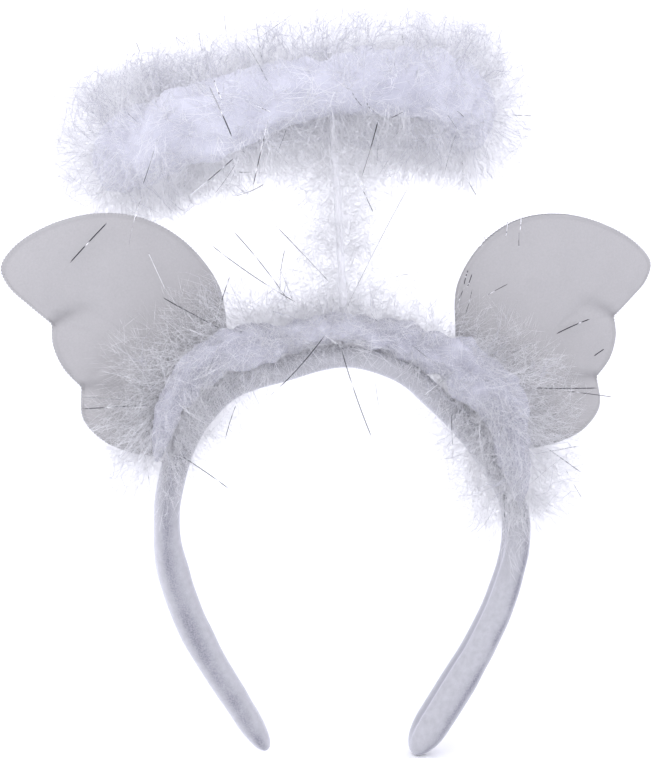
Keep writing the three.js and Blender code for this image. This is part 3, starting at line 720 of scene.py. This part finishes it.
def make_wing(wing, felt):
    """A puffed wing: rings of points go in from the outline to the fullest point, and the half thickness
    goes from the rim's to about four fifths of the padding's with the sine of the way in, over the outer 17
    millimetres. Two creases run in from the notches, each a bell curve across its line that fades along it,
    with a low ridge beside it, and a sewn channel follows the rim. The skins are then blown up as cloth
    with the rim and creases held. Returns the rim's points."""
    outline, centre, low_notch, high_notch = wing_outline(wing)
    line = np.vstack([outline, outline[:1]])
    rim = at_share(line, np.linspace(0, 1, 260, endpoint=False))
    spoke = rim - centre
    length = np.linalg.norm(spoke, axis=1)
    edge = 1 - np.array([0.0, 0.4, 0.9, 1.4, 1.9, 2.7])[:, None] / length[None]
    way_in = np.linspace(0, 1, 23)[1:, None]
    share = np.vstack([edge, edge[-1:] * (1 - way_in) + 0.04 * way_in])
    flat = centre + spoke[None] * share[..., None]
    depth = (1 - share) * length[None]
    swell = np.sin(np.clip(depth / 17.0, 0, 1) * math.pi / 2) ** 0.9
    crease_and_shade = np.zeros(swell.shape)
    ridge = np.zeros(swell.shape)
    for notch, heading, run in ((low_notch, (-1.0, 0.25), 24.0), (high_notch, (-0.75, 0.66), 20.0)):
        way = unit(np.array(heading))
        away = flat - notch
        forth = away @ way
        sideways = away @ np.array([-way[1], way[0]]) - 0.018 * forth**2
        fade = np.clip(1 - forth / run, 0, 1) * np.clip((forth + 3) / 3, 0, 1)
        spread = 1.5 + 0.12 * np.abs(forth)
        crease_and_shade = np.maximum(crease_and_shade, np.exp(-((sideways / spread) ** 2)) * fade)
        ridge = np.maximum(ridge, np.exp(-(((sideways - 2.4 * spread) / (1.5 * spread)) ** 2)) * fade)
    channel = np.exp(-(((depth - 1.4) / 0.45) ** 2))
    half = (WING_RIM + (PAD_BEFORE_PUFFING * WING_PAD - WING_RIM) * swell) / 2
    half = half * (1 - 0.5 * crease_and_shade + 0.12 * ridge) - 0.2 * channel
    front = np.stack([wing["side"] * flat[..., 0], WING_BACK - half, flat[..., 1]], -1)
    back = np.stack([wing["side"] * flat[..., 0], WING_BACK + half, flat[..., 1]], -1)
    grid = np.concatenate([front[::-1], back])
    points, faces = capped(grid)
    if wing["side"] > 0:
        faces = [group[:, ::-1] for group in faces]
    rows = (depth < 2.1) | (crease_and_shade > 0.35)
    held = np.concatenate([rows[::-1].ravel(), rows.ravel(), np.zeros(2, bool)])
    points = puffed(points, faces, held)
    # Painted shade for the felt's colour: the creases and the sewn channel.
    shade = np.clip(0.55 * crease_and_shade + 0.12 * channel, 0, 1)
    layer = np.concatenate([shade[::-1].ravel(), shade.ravel(), np.zeros(2)])
    points = points + REAR * (0.12 * waves(points, 30.0, 21 + wing["side"], 3))[:, None]
    piece = make_piece("felt_" + wing["name"], points, faces, felt, {"crease_and_shade": layer})
    on_object(piece, wing["name"])
    return rim


def make_stitches(wing, rim, thread):
    """Overcast stitches round the rim. Each is a half loop of thread, slanted along the edge: with a going
    from -90 to 90 degrees, it is off the middle of the rim by the sine of a and beyond the edge by the
    cosine of a, and both ends run on over the faces."""
    line = np.vstack([rim, rim[:1]])
    count = int(lengths(line)[-1] / STITCH_PITCH)
    share = (np.arange(count) + 0.5) / count
    spot = at_share(line, share)
    ahead = unit(at_share(line, (share + 0.002) % 1) - at_share(line, (share - 0.002) % 1))
    outward = np.stack([ahead[:, 1], -ahead[:, 0]], -1)
    outward = outward * np.sign(((spot - rim.mean(0)) * outward).sum(1, keepdims=True))
    free = spot[:, 0] > WING_ROOT_X + 0.13 * WING_SPAN
    spot, ahead, outward = spot[free], ahead[free], outward[free]
    t = np.linspace(-1, 1, 7)
    run_on = np.maximum(0, np.abs(t) - 0.6) / 0.4
    bend = np.clip(t / 0.6, -1, 1) * math.pi / 2
    out = 0.16 * np.cos(bend) - STITCH_BITE * run_on
    over = (WING_RIM / 2 + 0.05 + 0.3 * run_on) * np.sin(bend)
    out, slant = out[None, :, None], (0.45 * t)[None, :, None]
    flat = spot[:, None] + outward[:, None] * out + ahead[:, None] * slant
    x, z = np.moveaxis(flat, -1, 0)
    lines = np.stack([wing["side"] * x, WING_BACK + over[None] + 0 * x, z], -1)
    widths = np.full(lines.shape[:2], STITCH_GIRTH)
    widths[:, 0] = 0
    widths[:, -1] = 0
    points, faces, _ = strand_skins(lines, widths, np.random.default_rng(3))
    piece = make_piece("stitches_" + wing["name"], points, faces, thread)
    on_object(piece, wing["name"])


# Feather strands
def strand_skins(lines, widths, rng):
    """Closed skins of many strands at once. lines holds each strand's stations and widths the distance from
    the line to each edge, and the first and last station are points. A ring is the line plus its width
    times directions square to the strand's own chord: three, 120 degrees apart, or two, 120 degrees apart,
    where a strand has one ring. Also returns the station of each of a strand's points."""
    count, stations = lines.shape[:2]
    rings = stations - 2
    sides = 3 if rings > 1 else 2
    chord = unit(lines[:, -1] - lines[:, 0])
    side = unit(np.cross(chord, rng.normal(size=(count, 3))))
    other = np.cross(chord, side)
    turn = np.arange(sides) * 2 * math.pi / 3
    spread = side[:, None] * np.cos(turn)[None, :, None] + other[:, None] * np.sin(turn)[None, :, None]
    inner = lines[:, 1:-1, None] + spread[:, None] * widths[:, 1:-1, None, None]
    points = np.concatenate([lines[:, :1], inner.reshape(count, rings * sides, 3), lines[:, -1:]], 1)
    size = rings * sides + 2
    if rings == 1:
        faces = np.array([[0, 2, 1], [1, 2, 3], [0, 1, 3], [0, 3, 2]])
    else:
        j = np.arange(3)
        k = (j + 1) % 3
        here = 1 + 3 * np.arange(rings - 1)[:, None]
        foot = np.stack([0 * j, 1 + k, 1 + j], -1)
        low = np.stack([here + j, here + k, here + 3 + k], -1).reshape(-1, 3)
        high = np.stack([here + j, here + 3 + k, here + 3 + j], -1).reshape(-1, 3)
        last = 1 + 3 * (rings - 1)
        top = np.stack([last + j, last + k, 0 * j + size - 1], -1)
        faces = np.concatenate([foot, low, high, top])
    faces = (faces[None] + (np.arange(count) * size)[:, None, None]).reshape(-1, 3)
    station = np.concatenate([[0], np.repeat(np.arange(1, stations - 1), sides), [stations - 1]])
    return points.reshape(-1, 3), faces, station


def barbs(roots, ways, reach, curl, hook, kind, girth, rng):
    """Stations and widths of curved barbs. At a share t of the way out a barb has gone reach times its way
    t, its curl t^2 and its hook t^3, and has sunk by sag t^2. It is thickest a third of the way out. A barb
    of three stations is straight, because its skin has only four faces."""
    stations = kind["stations"]
    t = np.linspace(0, 1, stations)[None, :, None]
    length = reach[:, None, None]
    path = ways[:, None] * t + curl[:, None] * t**2 + hook[:, None] * t**3 - UP * kind["sag"] * t**2
    shake = rng.normal(size=(len(roots), stations, 3)) * 0.04
    shake[:, 0] = 0
    lines = roots[:, None] + length * (path + shake)
    if stations == 3:
        lines[:, 1] = (lines[:, 0] + lines[:, 2]) / 2
    profile = np.sin(math.pi * np.minimum(t * 1.5, 0.5 + 0.5 * t))[0, :, 0] ** 0.8
    profile[0] = 0
    profile[-1] = 0
    return lines, girth[:, None] * profile[None]


def halo_line(turn):
    """The hoop's centre line: a circle in plan that rises at the front and leans to one side."""
    return np.stack([
        HALO_ACROSS + HALO_RADIUS * np.sin(turn),
        HALO_RADIUS - HALO_FRONT - HALO_RADIUS * np.cos(turn),
        HALO_HEIGHT + HALO_FRONT_RISE * np.cos(turn) + HALO_SIDE_DROOP * np.cos(2 * turn)
        + HALO_SIDE_LEAN * np.sin(turn),
    ], -1)


def halo_frame(share):
    """Point, along, across and over directions of the hoop at a share of a turn from its front."""
    turn = 2 * math.pi * share
    along = unit(halo_line(turn + 0.01) - halo_line(turn - 0.01))
    across = unit(np.cross(UP, along))
    return halo_line(turn), along, across, np.cross(along, across)


STEM_FOOT = np.array([0.0, 0.0, STRIP_CROWN_THICKNESS - WIRE_SEAT_DEPTH])
STEM_TOP = halo_line(np.array(0.0)) - UP * HALO_SEAT_DEPTH


def stem_frame(share):
    """Point and directions on the stem, a quadratic Bezier curve from the crown to the hoop's front."""
    knee = np.array([STEM_TOP[0] * STEM_BOW, STEM_TOP[1] * STEM_BOW, (STEM_FOOT[2] + STEM_TOP[2]) / 2])
    t = share[:, None]
    point = STEM_FOOT * (1 - t) ** 2 + 2 * knee * t * (1 - t) + STEM_TOP * t**2
    along = unit(2 * (knee - STEM_FOOT) * (1 - t) + 2 * (STEM_TOP - knee) * t)
    across = unit(np.cross(np.array([0.0, 1.0, 0.0]), along))
    return point, along, across, np.cross(along, across)


def trim_frame(share):
    """Point and directions on the trim's route over the band, with its core radius and fluff length."""
    first, last = TRIM_ROUTE[0]["along"], TRIM_ROUTE[-1]["along"]

    def spot(part):
        along = first + (last - first) * np.clip(part, 0, 1)
        point, _, outward, _, _ = band_at(along)
        lift = STRIP_WIDTH * eased(TRIM_ROUTE, "lift", along)
        front = STRIP_WIDTH * eased(TRIM_ROUTE, "front", along)
        return point + outward * lift[:, None] + FORWARD * front[:, None], outward, along

    point, outward, place = spot(share)
    along = unit(spot(share + 0.01)[0] - spot(share - 0.01)[0])
    across = unit(np.cross(outward, along))
    core = STRIP_WIDTH * eased(TRIM_ROUTE, "core", place)
    fluff = STRIP_WIDTH * eased(TRIM_ROUTE, "fluff", place)
    return point, along, across, np.cross(along, across), core, fluff


def held_back(shift):
    """Shifts of strands from a boa's line, each strand made smaller as a whole so that none ends further
    out than FREE_REACH + LAST_REACH: past FREE_REACH a, the furthest distance r becomes a + b (1 - exp((a -
    r) / b)) with b = LAST_REACH."""
    far = np.linalg.norm(shift, axis=-1).max(1)[:, None, None]
    past = np.maximum(0, far - FREE_REACH)
    near = np.minimum(far, FREE_REACH) + LAST_REACH * (1 - np.exp(-past / LAST_REACH))
    return shift * near / np.maximum(far, 1e-9)


def tufted(frame_at, shares, turns, core, reach, kind, rng, part=0.0, flow=0.0):
    """Barbs in tufts on a boa. A tuft starts at a share of the route and a turn round it, and its axis at a
    share u of its reach is way u + curl u^2 + hook u^3, where the way is outward plus a lean along the boa,
    a swirl round it and a rise. Barbs start along the axis, up to the kind's spread, and stray from it. At
    the parting the tufts fall to both sides: the swirl gains part tanh(4 sin a) (1 + cos a) / 2, with the
    angle a from the parting. Flow is what all the tufts lean along the boa. The tone, painted shade towards
    the root, goes from nine tenths of the kind's paleness at the root to all of it at two thirds of the
    reach."""
    point, along, across, over = frame_at(shares)[:4]
    outward = across * np.cos(turns)[:, None] + over * np.sin(turns)[:, None]
    around = np.cross(along, outward)
    tufts, each = len(shares), kind["each"]
    slope = rng.normal(size=tufts) * kind["lean"] + flow
    away = turns - PARTING
    falling = np.tanh(4 * np.sin(away)) * (1 + np.cos(away)) / 2
    swirl = rng.normal(size=tufts) * 0.6 * kind["lean"] + part * falling
    way = unit(outward + along * slope[:, None] + around * swirl[:, None] + UP * kind["rise"])
    curl = unit(rng.normal(size=(tufts, 3))) * kind["curl"]
    hook = unit(rng.normal(size=(tufts, 3)) - 2 * curl) * kind["hook"]
    root = point + outward * (core + kind["start"] * reach)[:, None]
    many = each * tufts
    way, curl, hook, root, reach, stray = (
        np.repeat(values, each, 0) for values in (way, curl, hook, root, reach, reach * 0.09)
    )
    u = (rng.random(many) ** 0.85 * kind["spread"])[:, None]
    start = root + reach[:, None] * (way * u + curl * u**2 + hook * u**3)
    start = start + rng.normal(size=(many, 3)) * stray[:, None]
    heading = unit(unit(way + 2 * curl * u + 3 * hook * u**2) + rng.normal(size=(many, 3)) * kind["splay"])
    curls = curl + rng.normal(size=(many, 3)) * 0.35 * kind["curl"]
    hooks = hook + rng.normal(size=(many, 3)) * 0.35 * kind["hook"]
    long = reach * kind["length"] * rng.uniform(0.5, 1.0, many)
    thick = kind["girth"] * rng.uniform(0.7, 1.2, many)
    lines, widths = barbs(start, heading, long, curls, hooks, kind, thick, rng)
    middle = np.repeat(point, each, 0)[:, None]
    lines = middle + held_back(lines - middle)
    way_out = u + kind["length"] * np.linspace(0, 1, kind["stations"])
    # Painted shade: the tone is lower near the root.
    return lines, widths, kind["pale"] * (0.9 + 0.1 * np.minimum(1, 1.5 * way_out))


def feather_piece(name, batches, material, node, rng):
    """One mesh of several batches of barbs, with a little chance in the tone of each."""
    points, faces, tones, start = [], [], [], 0
    for lines, widths, tone in batches:
        p, f, station = strand_skins(lines, widths, rng)
        tone = tone + rng.uniform(-0.1, 0.1, (len(lines), 1))
        points.append(p)
        faces.append(f + start)
        tones.append(np.clip(tone[:, station], 0, 1).ravel())
        start += len(p)
    piece = make_piece(name, np.vstack(points), np.vstack(faces), material, {"tone": np.concatenate(tones)})
    on_object(piece, node)


def spots(low, high, count, rng):
    """Evenly strewn places on a boa: shares of its route in equal steps, and turns by the golden angle."""
    step = np.arange(count)
    shares = low + (high - low) * (step + rng.random(count)) / count
    return shares, (step * GOLDEN_ANGLE + rng.normal(size=count) * 0.3) % (2 * math.pi)


def boa_core(name, frame_at, count, radius, top, tone, lumpiness, loop, material, node, seed):
    """The dense down in the middle of a boa: a tube of lumpy rings. The radius grows by top on the upper
    side and by noise in two sizes. The tone is darkened as painted shade in the hollows of the lumps and
    along the parting."""
    share = np.linspace(0, 1, count, endpoint=not loop)
    point, along, across, over = frame_at(share)[:4]
    sides = 44
    turn = np.linspace(0, 2 * math.pi, sides, endpoint=False)
    ring = across[:, None] * np.cos(turn)[None, :, None] + over[:, None] * np.sin(turn)[None, :, None]
    radius, top = np.broadcast_arrays(radius, top, share)[:2]
    size = radius[:, None] * (1 + top[:, None] * np.sin(turn)[None])
    if not loop:
        size = size * np.sqrt(np.clip(1 - np.abs(2 * share - 1) ** 8, 0.02, 1))[:, None]
    grid = point[:, None] + ring * size[..., None]
    lumps = waves(grid, 30.0, seed, 2)
    tufts = waves(grid, 9.0, seed + 1, 3)
    # Painted shade: the tone is lower in the hollows of the lumps and along the parting, where the tufts
    # fall apart.
    shade_streak = np.exp(-(((turn - PARTING) / 0.45) ** 2))[None] * (0.6 - 0.5 * lumps)
    tone = tone + 0.05 * lumps + 0.06 * tufts - 0.25 * shade_streak
    grid = grid + ring * (size * lumpiness * (0.13 * lumps + 0.07 * tufts))[..., None]
    if loop:
        points, faces = grid.reshape(-1, 3), [ring_faces(count, sides, True)]
        tones = tone.ravel()
    else:
        points, faces = capped(grid)
        tones = np.concatenate([tone.ravel(), [tone.mean(), tone.mean()]])
    piece = make_piece(name, points, faces, material, {"tone": np.clip(tones, 0, 1)})
    on_object(piece, node)


def make_halo(feather, down):
    """The hoop: a core, and in each quarter down, longer barbs and loose wisps above. Reach follows the
    table, and smooth noise of the place makes it longer here and shorter there."""
    shares = np.linspace(0, 1, 300, endpoint=False)
    radius = HALO_CORE * eased(HALO_FLUFF, "core", shares, "share")
    top = eased(HALO_FLUFF, "top", shares, "share")
    boa_core("halo_core", halo_frame, 300, radius, top, 0.55, 1.0, True, down, "halo_boa", 31)
    quarters = (("front", 0.0), ("right", 0.25), ("rear", 0.5), ("left", 0.75))
    for index, (label, middle) in enumerate(quarters):
        rng = np.random.default_rng(100 + index)
        batches = []
        for row in HALO_TUFTS:
            kind, tufts = row["kind"], row["tufts"]
            shares, turns = spots(middle - 0.125, middle + 0.125, tufts, rng)
            if kind is WISP:
                turns = rng.normal(math.pi / 2, 1.0, tufts) % (2 * math.pi)
            shares = shares % 1
            place = np.stack([6 * shares, np.cos(turns), np.sin(turns)], -1)
            top = 1 + eased(HALO_FLUFF, "top", shares, "share") * np.sin(turns)
            root = HALO_ROOT * eased(HALO_FLUFF, "core", shares, "share") * top
            reach = eased(HALO_FLUFF, "reach", shares, "share")
            reach = reach * rng.uniform(row["short"], row["long"], tufts)
            reach = reach * (1 + 0.2 * waves(place, 1.4, 51, 2))
            batches.append(tufted(halo_frame, shares, turns, root, reach, kind, rng, 0.5))
        feather_piece("halo_fluff_" + label, batches, feather, "halo_boa", rng)


def make_trim(feather, down):
    """The trim over the band: a core, palest left of the crown as painted light, and barbs whose length
    follows the table, less of it on the lower side."""
    place = np.linspace(0, 1, 140)
    core_radius = trim_frame(place)[4]
    core_share = 0.62 + 0.36 * np.exp(-(((place - 0.55) / 0.25) ** 2))
    # Painted light: the core's tone is raised in a patch just left of the crown.
    tone = 0.55 + 0.45 * np.exp(-(((place - 0.4) / 0.09) ** 2))[:, None]
    radius = core_radius * core_share
    boa_core("trim_core", trim_frame, 140, radius, 0.0, tone, 2.2, False, down, "trim_boa", 37)
    first, last = TRIM_ROUTE[0]["along"], TRIM_ROUTE[-1]["along"]
    for label, low, high, seed in (("left", 0.0, 0.47, 201), ("right", 0.47, 1.0, 202)):
        rng = np.random.default_rng(seed)
        batches = []
        for row in TRIM_TUFTS:
            kind, tufts = row["kind"], row["tufts"]
            shares, turns = spots(low, high, tufts, rng)
            core, fluff = trim_frame(shares)[4:]
            skirt = eased(TRIM_ROUTE, "skirt", first + (last - first) * shares)
            side = 1 - (1 - skirt) * np.maximum(0, -np.sin(turns))
            reach = (0.2 * core + fluff) * side * rng.uniform(row["short"], row["long"], tufts)
            flow = TRIM_FLOW * np.clip((first + (last - first) * shares) / 0.15, -1, 1)
            batches.append(tufted(trim_frame, shares, turns, core * 0.5, reach, kind, rng, 0.3, flow))
        feather_piece("trim_fluff_" + label, batches, feather, "trim_boa", rng)


def make_stem_feather(feather):
    """Feather on the stem: a thin core that hides the wire, and down and barbs so sparse that they are a
    haze."""
    boa_core("stem_core", stem_frame, 60, STEM_CORE, 0.0, 0.9, 2.0, False, feather, "stem_boa", 41)
    rng = np.random.default_rng(301)
    batches = []
    for row in STEM_TUFTS:
        kind, tufts = row["kind"], row["tufts"]
        shares, turns = spots(0.04, 0.96, tufts, rng)
        reach = 8.0 + 26.0 * rng.random(tufts)
        batches.append(tufted(stem_frame, shares, turns, np.full(tufts, 1.8), reach, kind, rng))
    feather_piece("stem_fluff", batches, feather, "stem_boa", rng)


# Tinsel
def on_sight(pixel, depth):
    """Point seen at a pixel of the photograph, in the plane Y = depth."""
    right, up, back = view_axes()
    eye = VIEW_AIM + back * VIEW_DISTANCE
    aside = (pixel[0] - PHOTO_WIDTH / 2) / FOCAL_PIXELS
    above = (PHOTO_HEIGHT / 2 - pixel[1]) / FOCAL_PIXELS
    ray = right * aside + up * above - back
    return eye + ray * (depth - eye[1]) / ray[1]


def film_strands(roots, tips, girths, mirrors, rng):
    """Stations, widths and tones of film strands. A strand bows sideways by a few hundredths of its length.
    Each half of it has one tone of painted reflection, turned round at seeded stations as painted glints."""
    stations = 14
    t = np.linspace(0, 1, stations)
    chord = tips - roots
    bow = rng.normal(size=(len(roots), 3)) * 0.015 * np.linalg.norm(chord, axis=1, keepdims=True)
    along, bent = t[None, :, None], (4 * t * (1 - t))[None, :, None]
    lines = roots[:, None] + chord[:, None] * along + bow[:, None] * bent
    widths = np.repeat(girths[:, None], stations, 1)
    widths[:, 0] = 0
    widths[:, -1] = 0
    halves = np.array([[MIRRORED[letter] for letter in word] for word in mirrors])
    tones = np.where(t < 0.5, halves[:, :1], halves[:, 1:])
    return lines, widths, np.where(rng.random(tones.shape) < GLINT_CHANCE, 1.0 - tones, tones)


def make_tinsel(label, rows, node, loose, frame_at, rng, film):
    """The strands of a table, placed by sight, and loose ones that leave the boa at seeded places."""
    roots = np.array([on_sight(row["root"], row["y"][0]) for row in rows])
    tips = np.array([on_sight(row["tip"], row["y"][1]) for row in rows])
    girths = np.array([row["girth"] for row in rows])
    mirrors = [row["mirrors"] for row in rows]
    if loose:
        shares, turns = spots(0.0, 1.0, loose, rng)
        point, along, across, over = frame_at(shares)[:4]
        outward = across * np.cos(turns)[:, None] + over * np.sin(turns)[:, None]
        start = point + outward * 9.0
        way = unit(outward + 0.9 * rng.normal(size=(loose, 3)))
        roots = np.vstack([roots, start])
        tips = np.vstack([tips, start + way * rng.uniform(12.0, 22.0, loose)[:, None]])
        girths = np.concatenate([girths, rng.uniform(0.08, 0.15, loose)])
        mirrors += ["".join(rng.choice(list("dgggbb"), 2)) for _ in range(loose)]
    lines, widths, tones = film_strands(roots, tips, girths, mirrors, rng)
    points, faces, station = strand_skins(lines, widths, rng)
    piece = make_piece("tinsel_" + label, points, faces, film, {"tone": tones[:, station].ravel()})
    on_object(piece, node)


# Camera, light and floor
def view_axes():
    """Right, up and back directions of the camera from its turn and rise."""
    right = np.array([math.cos(VIEW_TURN), math.sin(VIEW_TURN), 0.0])
    back = np.array([
        math.sin(VIEW_TURN) * math.cos(VIEW_RISE),
        -math.cos(VIEW_TURN) * math.cos(VIEW_RISE),
        math.sin(VIEW_RISE),
    ])
    return right, np.cross(back, right), back


def make_camera():
    """A camera that stands where the photograph was taken from."""
    right, up, back = view_axes()
    lens = bpy.data.cameras.new("photo_view")
    lens.sensor_width = SENSOR
    lens.lens = FOCAL_PIXELS * SENSOR / PHOTO_HEIGHT
    lens.clip_start = 0.01
    lens.clip_end = 20.0
    camera = bpy.data.objects.new("photo_view", lens)
    place = np.eye(4)
    place[:3, :3] = np.stack([right, up, back], 1)
    place[:3, 3] = (VIEW_AIM + back * VIEW_DISTANCE) * MM
    camera.matrix_world = Matrix(place.tolist())
    bpy.context.scene.collection.objects.link(camera)
    bpy.context.scene.camera = camera


def make_floor():
    """A pale floor under the tips that turns up into a backdrop through a quarter circle."""
    floor_z = cad_box[0][2] / MM - 0.4
    reach, bend, wall = 900.0, 500.0, 1500.0
    turn = np.linspace(0, math.pi / 2, 24)
    profile = np.vstack([
        [[-reach * 2, floor_z], [0, floor_z], [reach, floor_z]],
        np.stack([reach + bend * np.sin(turn), floor_z + bend * (1 - np.cos(turn))], -1)[1:],
        [[reach + bend, floor_z + wall]],
    ])
    x = np.linspace(-2200, 2200, 9)
    grid = np.stack(np.broadcast_arrays(x[None, :], profile[:, :1], profile[:, 1:]), -1)
    rows, columns = grid.shape[:2]
    i = np.arange(rows - 1)[:, None] * columns
    j = np.arange(columns - 1)[None, :]
    faces = np.stack([i + j, i + j + 1, i + columns + j + 1, i + columns + j], -1).reshape(-1, 4)
    material, nodes, links, shader = new_material("pale_paper")
    place = nodes.new("ShaderNodeTexCoord").outputs["Object"]
    paper = noise(nodes, links, place, 40.0, 3.0, 0.6)
    colour = ramp(nodes, links, paper, (0.93, 0.93, 0.93), (0.95, 0.95, 0.95))
    links.new(colour, shader.inputs["Base Color"])
    shader.inputs["Roughness"].default_value = 0.9
    make_piece("floor", grid.reshape(-1, 3), faces, material)


def add_lamp(name, place, aim, size, power, colour):
    """A square soft light at a place in metres, turned to its aim."""
    lamp = bpy.data.lights.new(name, "AREA")
    lamp.shape = "SQUARE"
    lamp.size = size
    lamp.energy = power
    lamp.color = colour
    holder = bpy.data.objects.new(name, lamp)
    holder.location = place
    holder.rotation_euler = (Vector(aim) - Vector(place)).to_track_quat("-Z", "Y").to_euler()
    bpy.context.scene.collection.objects.link(holder)


def light_studio():
    """A bright white room and one soft light from the upper left."""
    world = bpy.data.worlds.new("white_room")
    world.use_nodes = True
    backdrop = world.node_tree.nodes["Background"]
    backdrop.inputs["Color"].default_value = (0.9, 0.902, 1.0, 1.0)
    backdrop.inputs["Strength"].default_value = 1.45
    bpy.context.scene.world = world
    add_lamp("key_left", (-0.9, -0.9, 1.0), (0, 0, 0), 0.9, 4.5, (1.0, 1.0, 1.0))
    bpy.context.scene.view_settings.view_transform = "Standard"


make_camera()
light_studio()
make_floor()

felt = felt_material()
thread = thread_material()
feather = feather_material("marabou", (0.5, 0.5, 0.56), (0.99, 0.99, 1.0), 0.0)
# Painted shade: the cores' down is a darker copy of the marabou, standing in for the shade inside dense
# fluff, and the trim's is darker still as painted shade for the trim.
down = feather_material("shaded_marabou_down", (0.44, 0.44, 0.5), (0.75, 0.755, 0.825), 0.45)
trim_feather = feather_material("trim_marabou", (0.5, 0.5, 0.56), (0.99, 0.99, 1.0), 0.0)
shaded_trim_down = feather_material("shaded_trim_down", (0.38, 0.38, 0.43), (0.64, 0.64, 0.7), 0.0)
make_headband()
for wing in (LEFT_WING, RIGHT_WING):
    make_stitches(wing, make_wing(wing, felt), thread)
make_halo(feather, down)
make_trim(trim_feather, shaded_trim_down)
make_stem_feather(feather)
film = tinsel_material()
chance = np.random.default_rng(401)
make_tinsel("halo", HALO_TINSEL, "halo_boa", LOOSE_TINSEL["halo"], halo_frame, chance, film)
make_tinsel("trim", TRIM_TINSEL, "trim_boa", LOOSE_TINSEL["trim"], trim_frame, chance, film)
make_tinsel("stem", STEM_TINSEL, "stem_boa", 0, stem_frame, chance, film)
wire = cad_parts["stem_wire"]
wire.data.materials.clear()
wire.data.materials.append(wire_material())
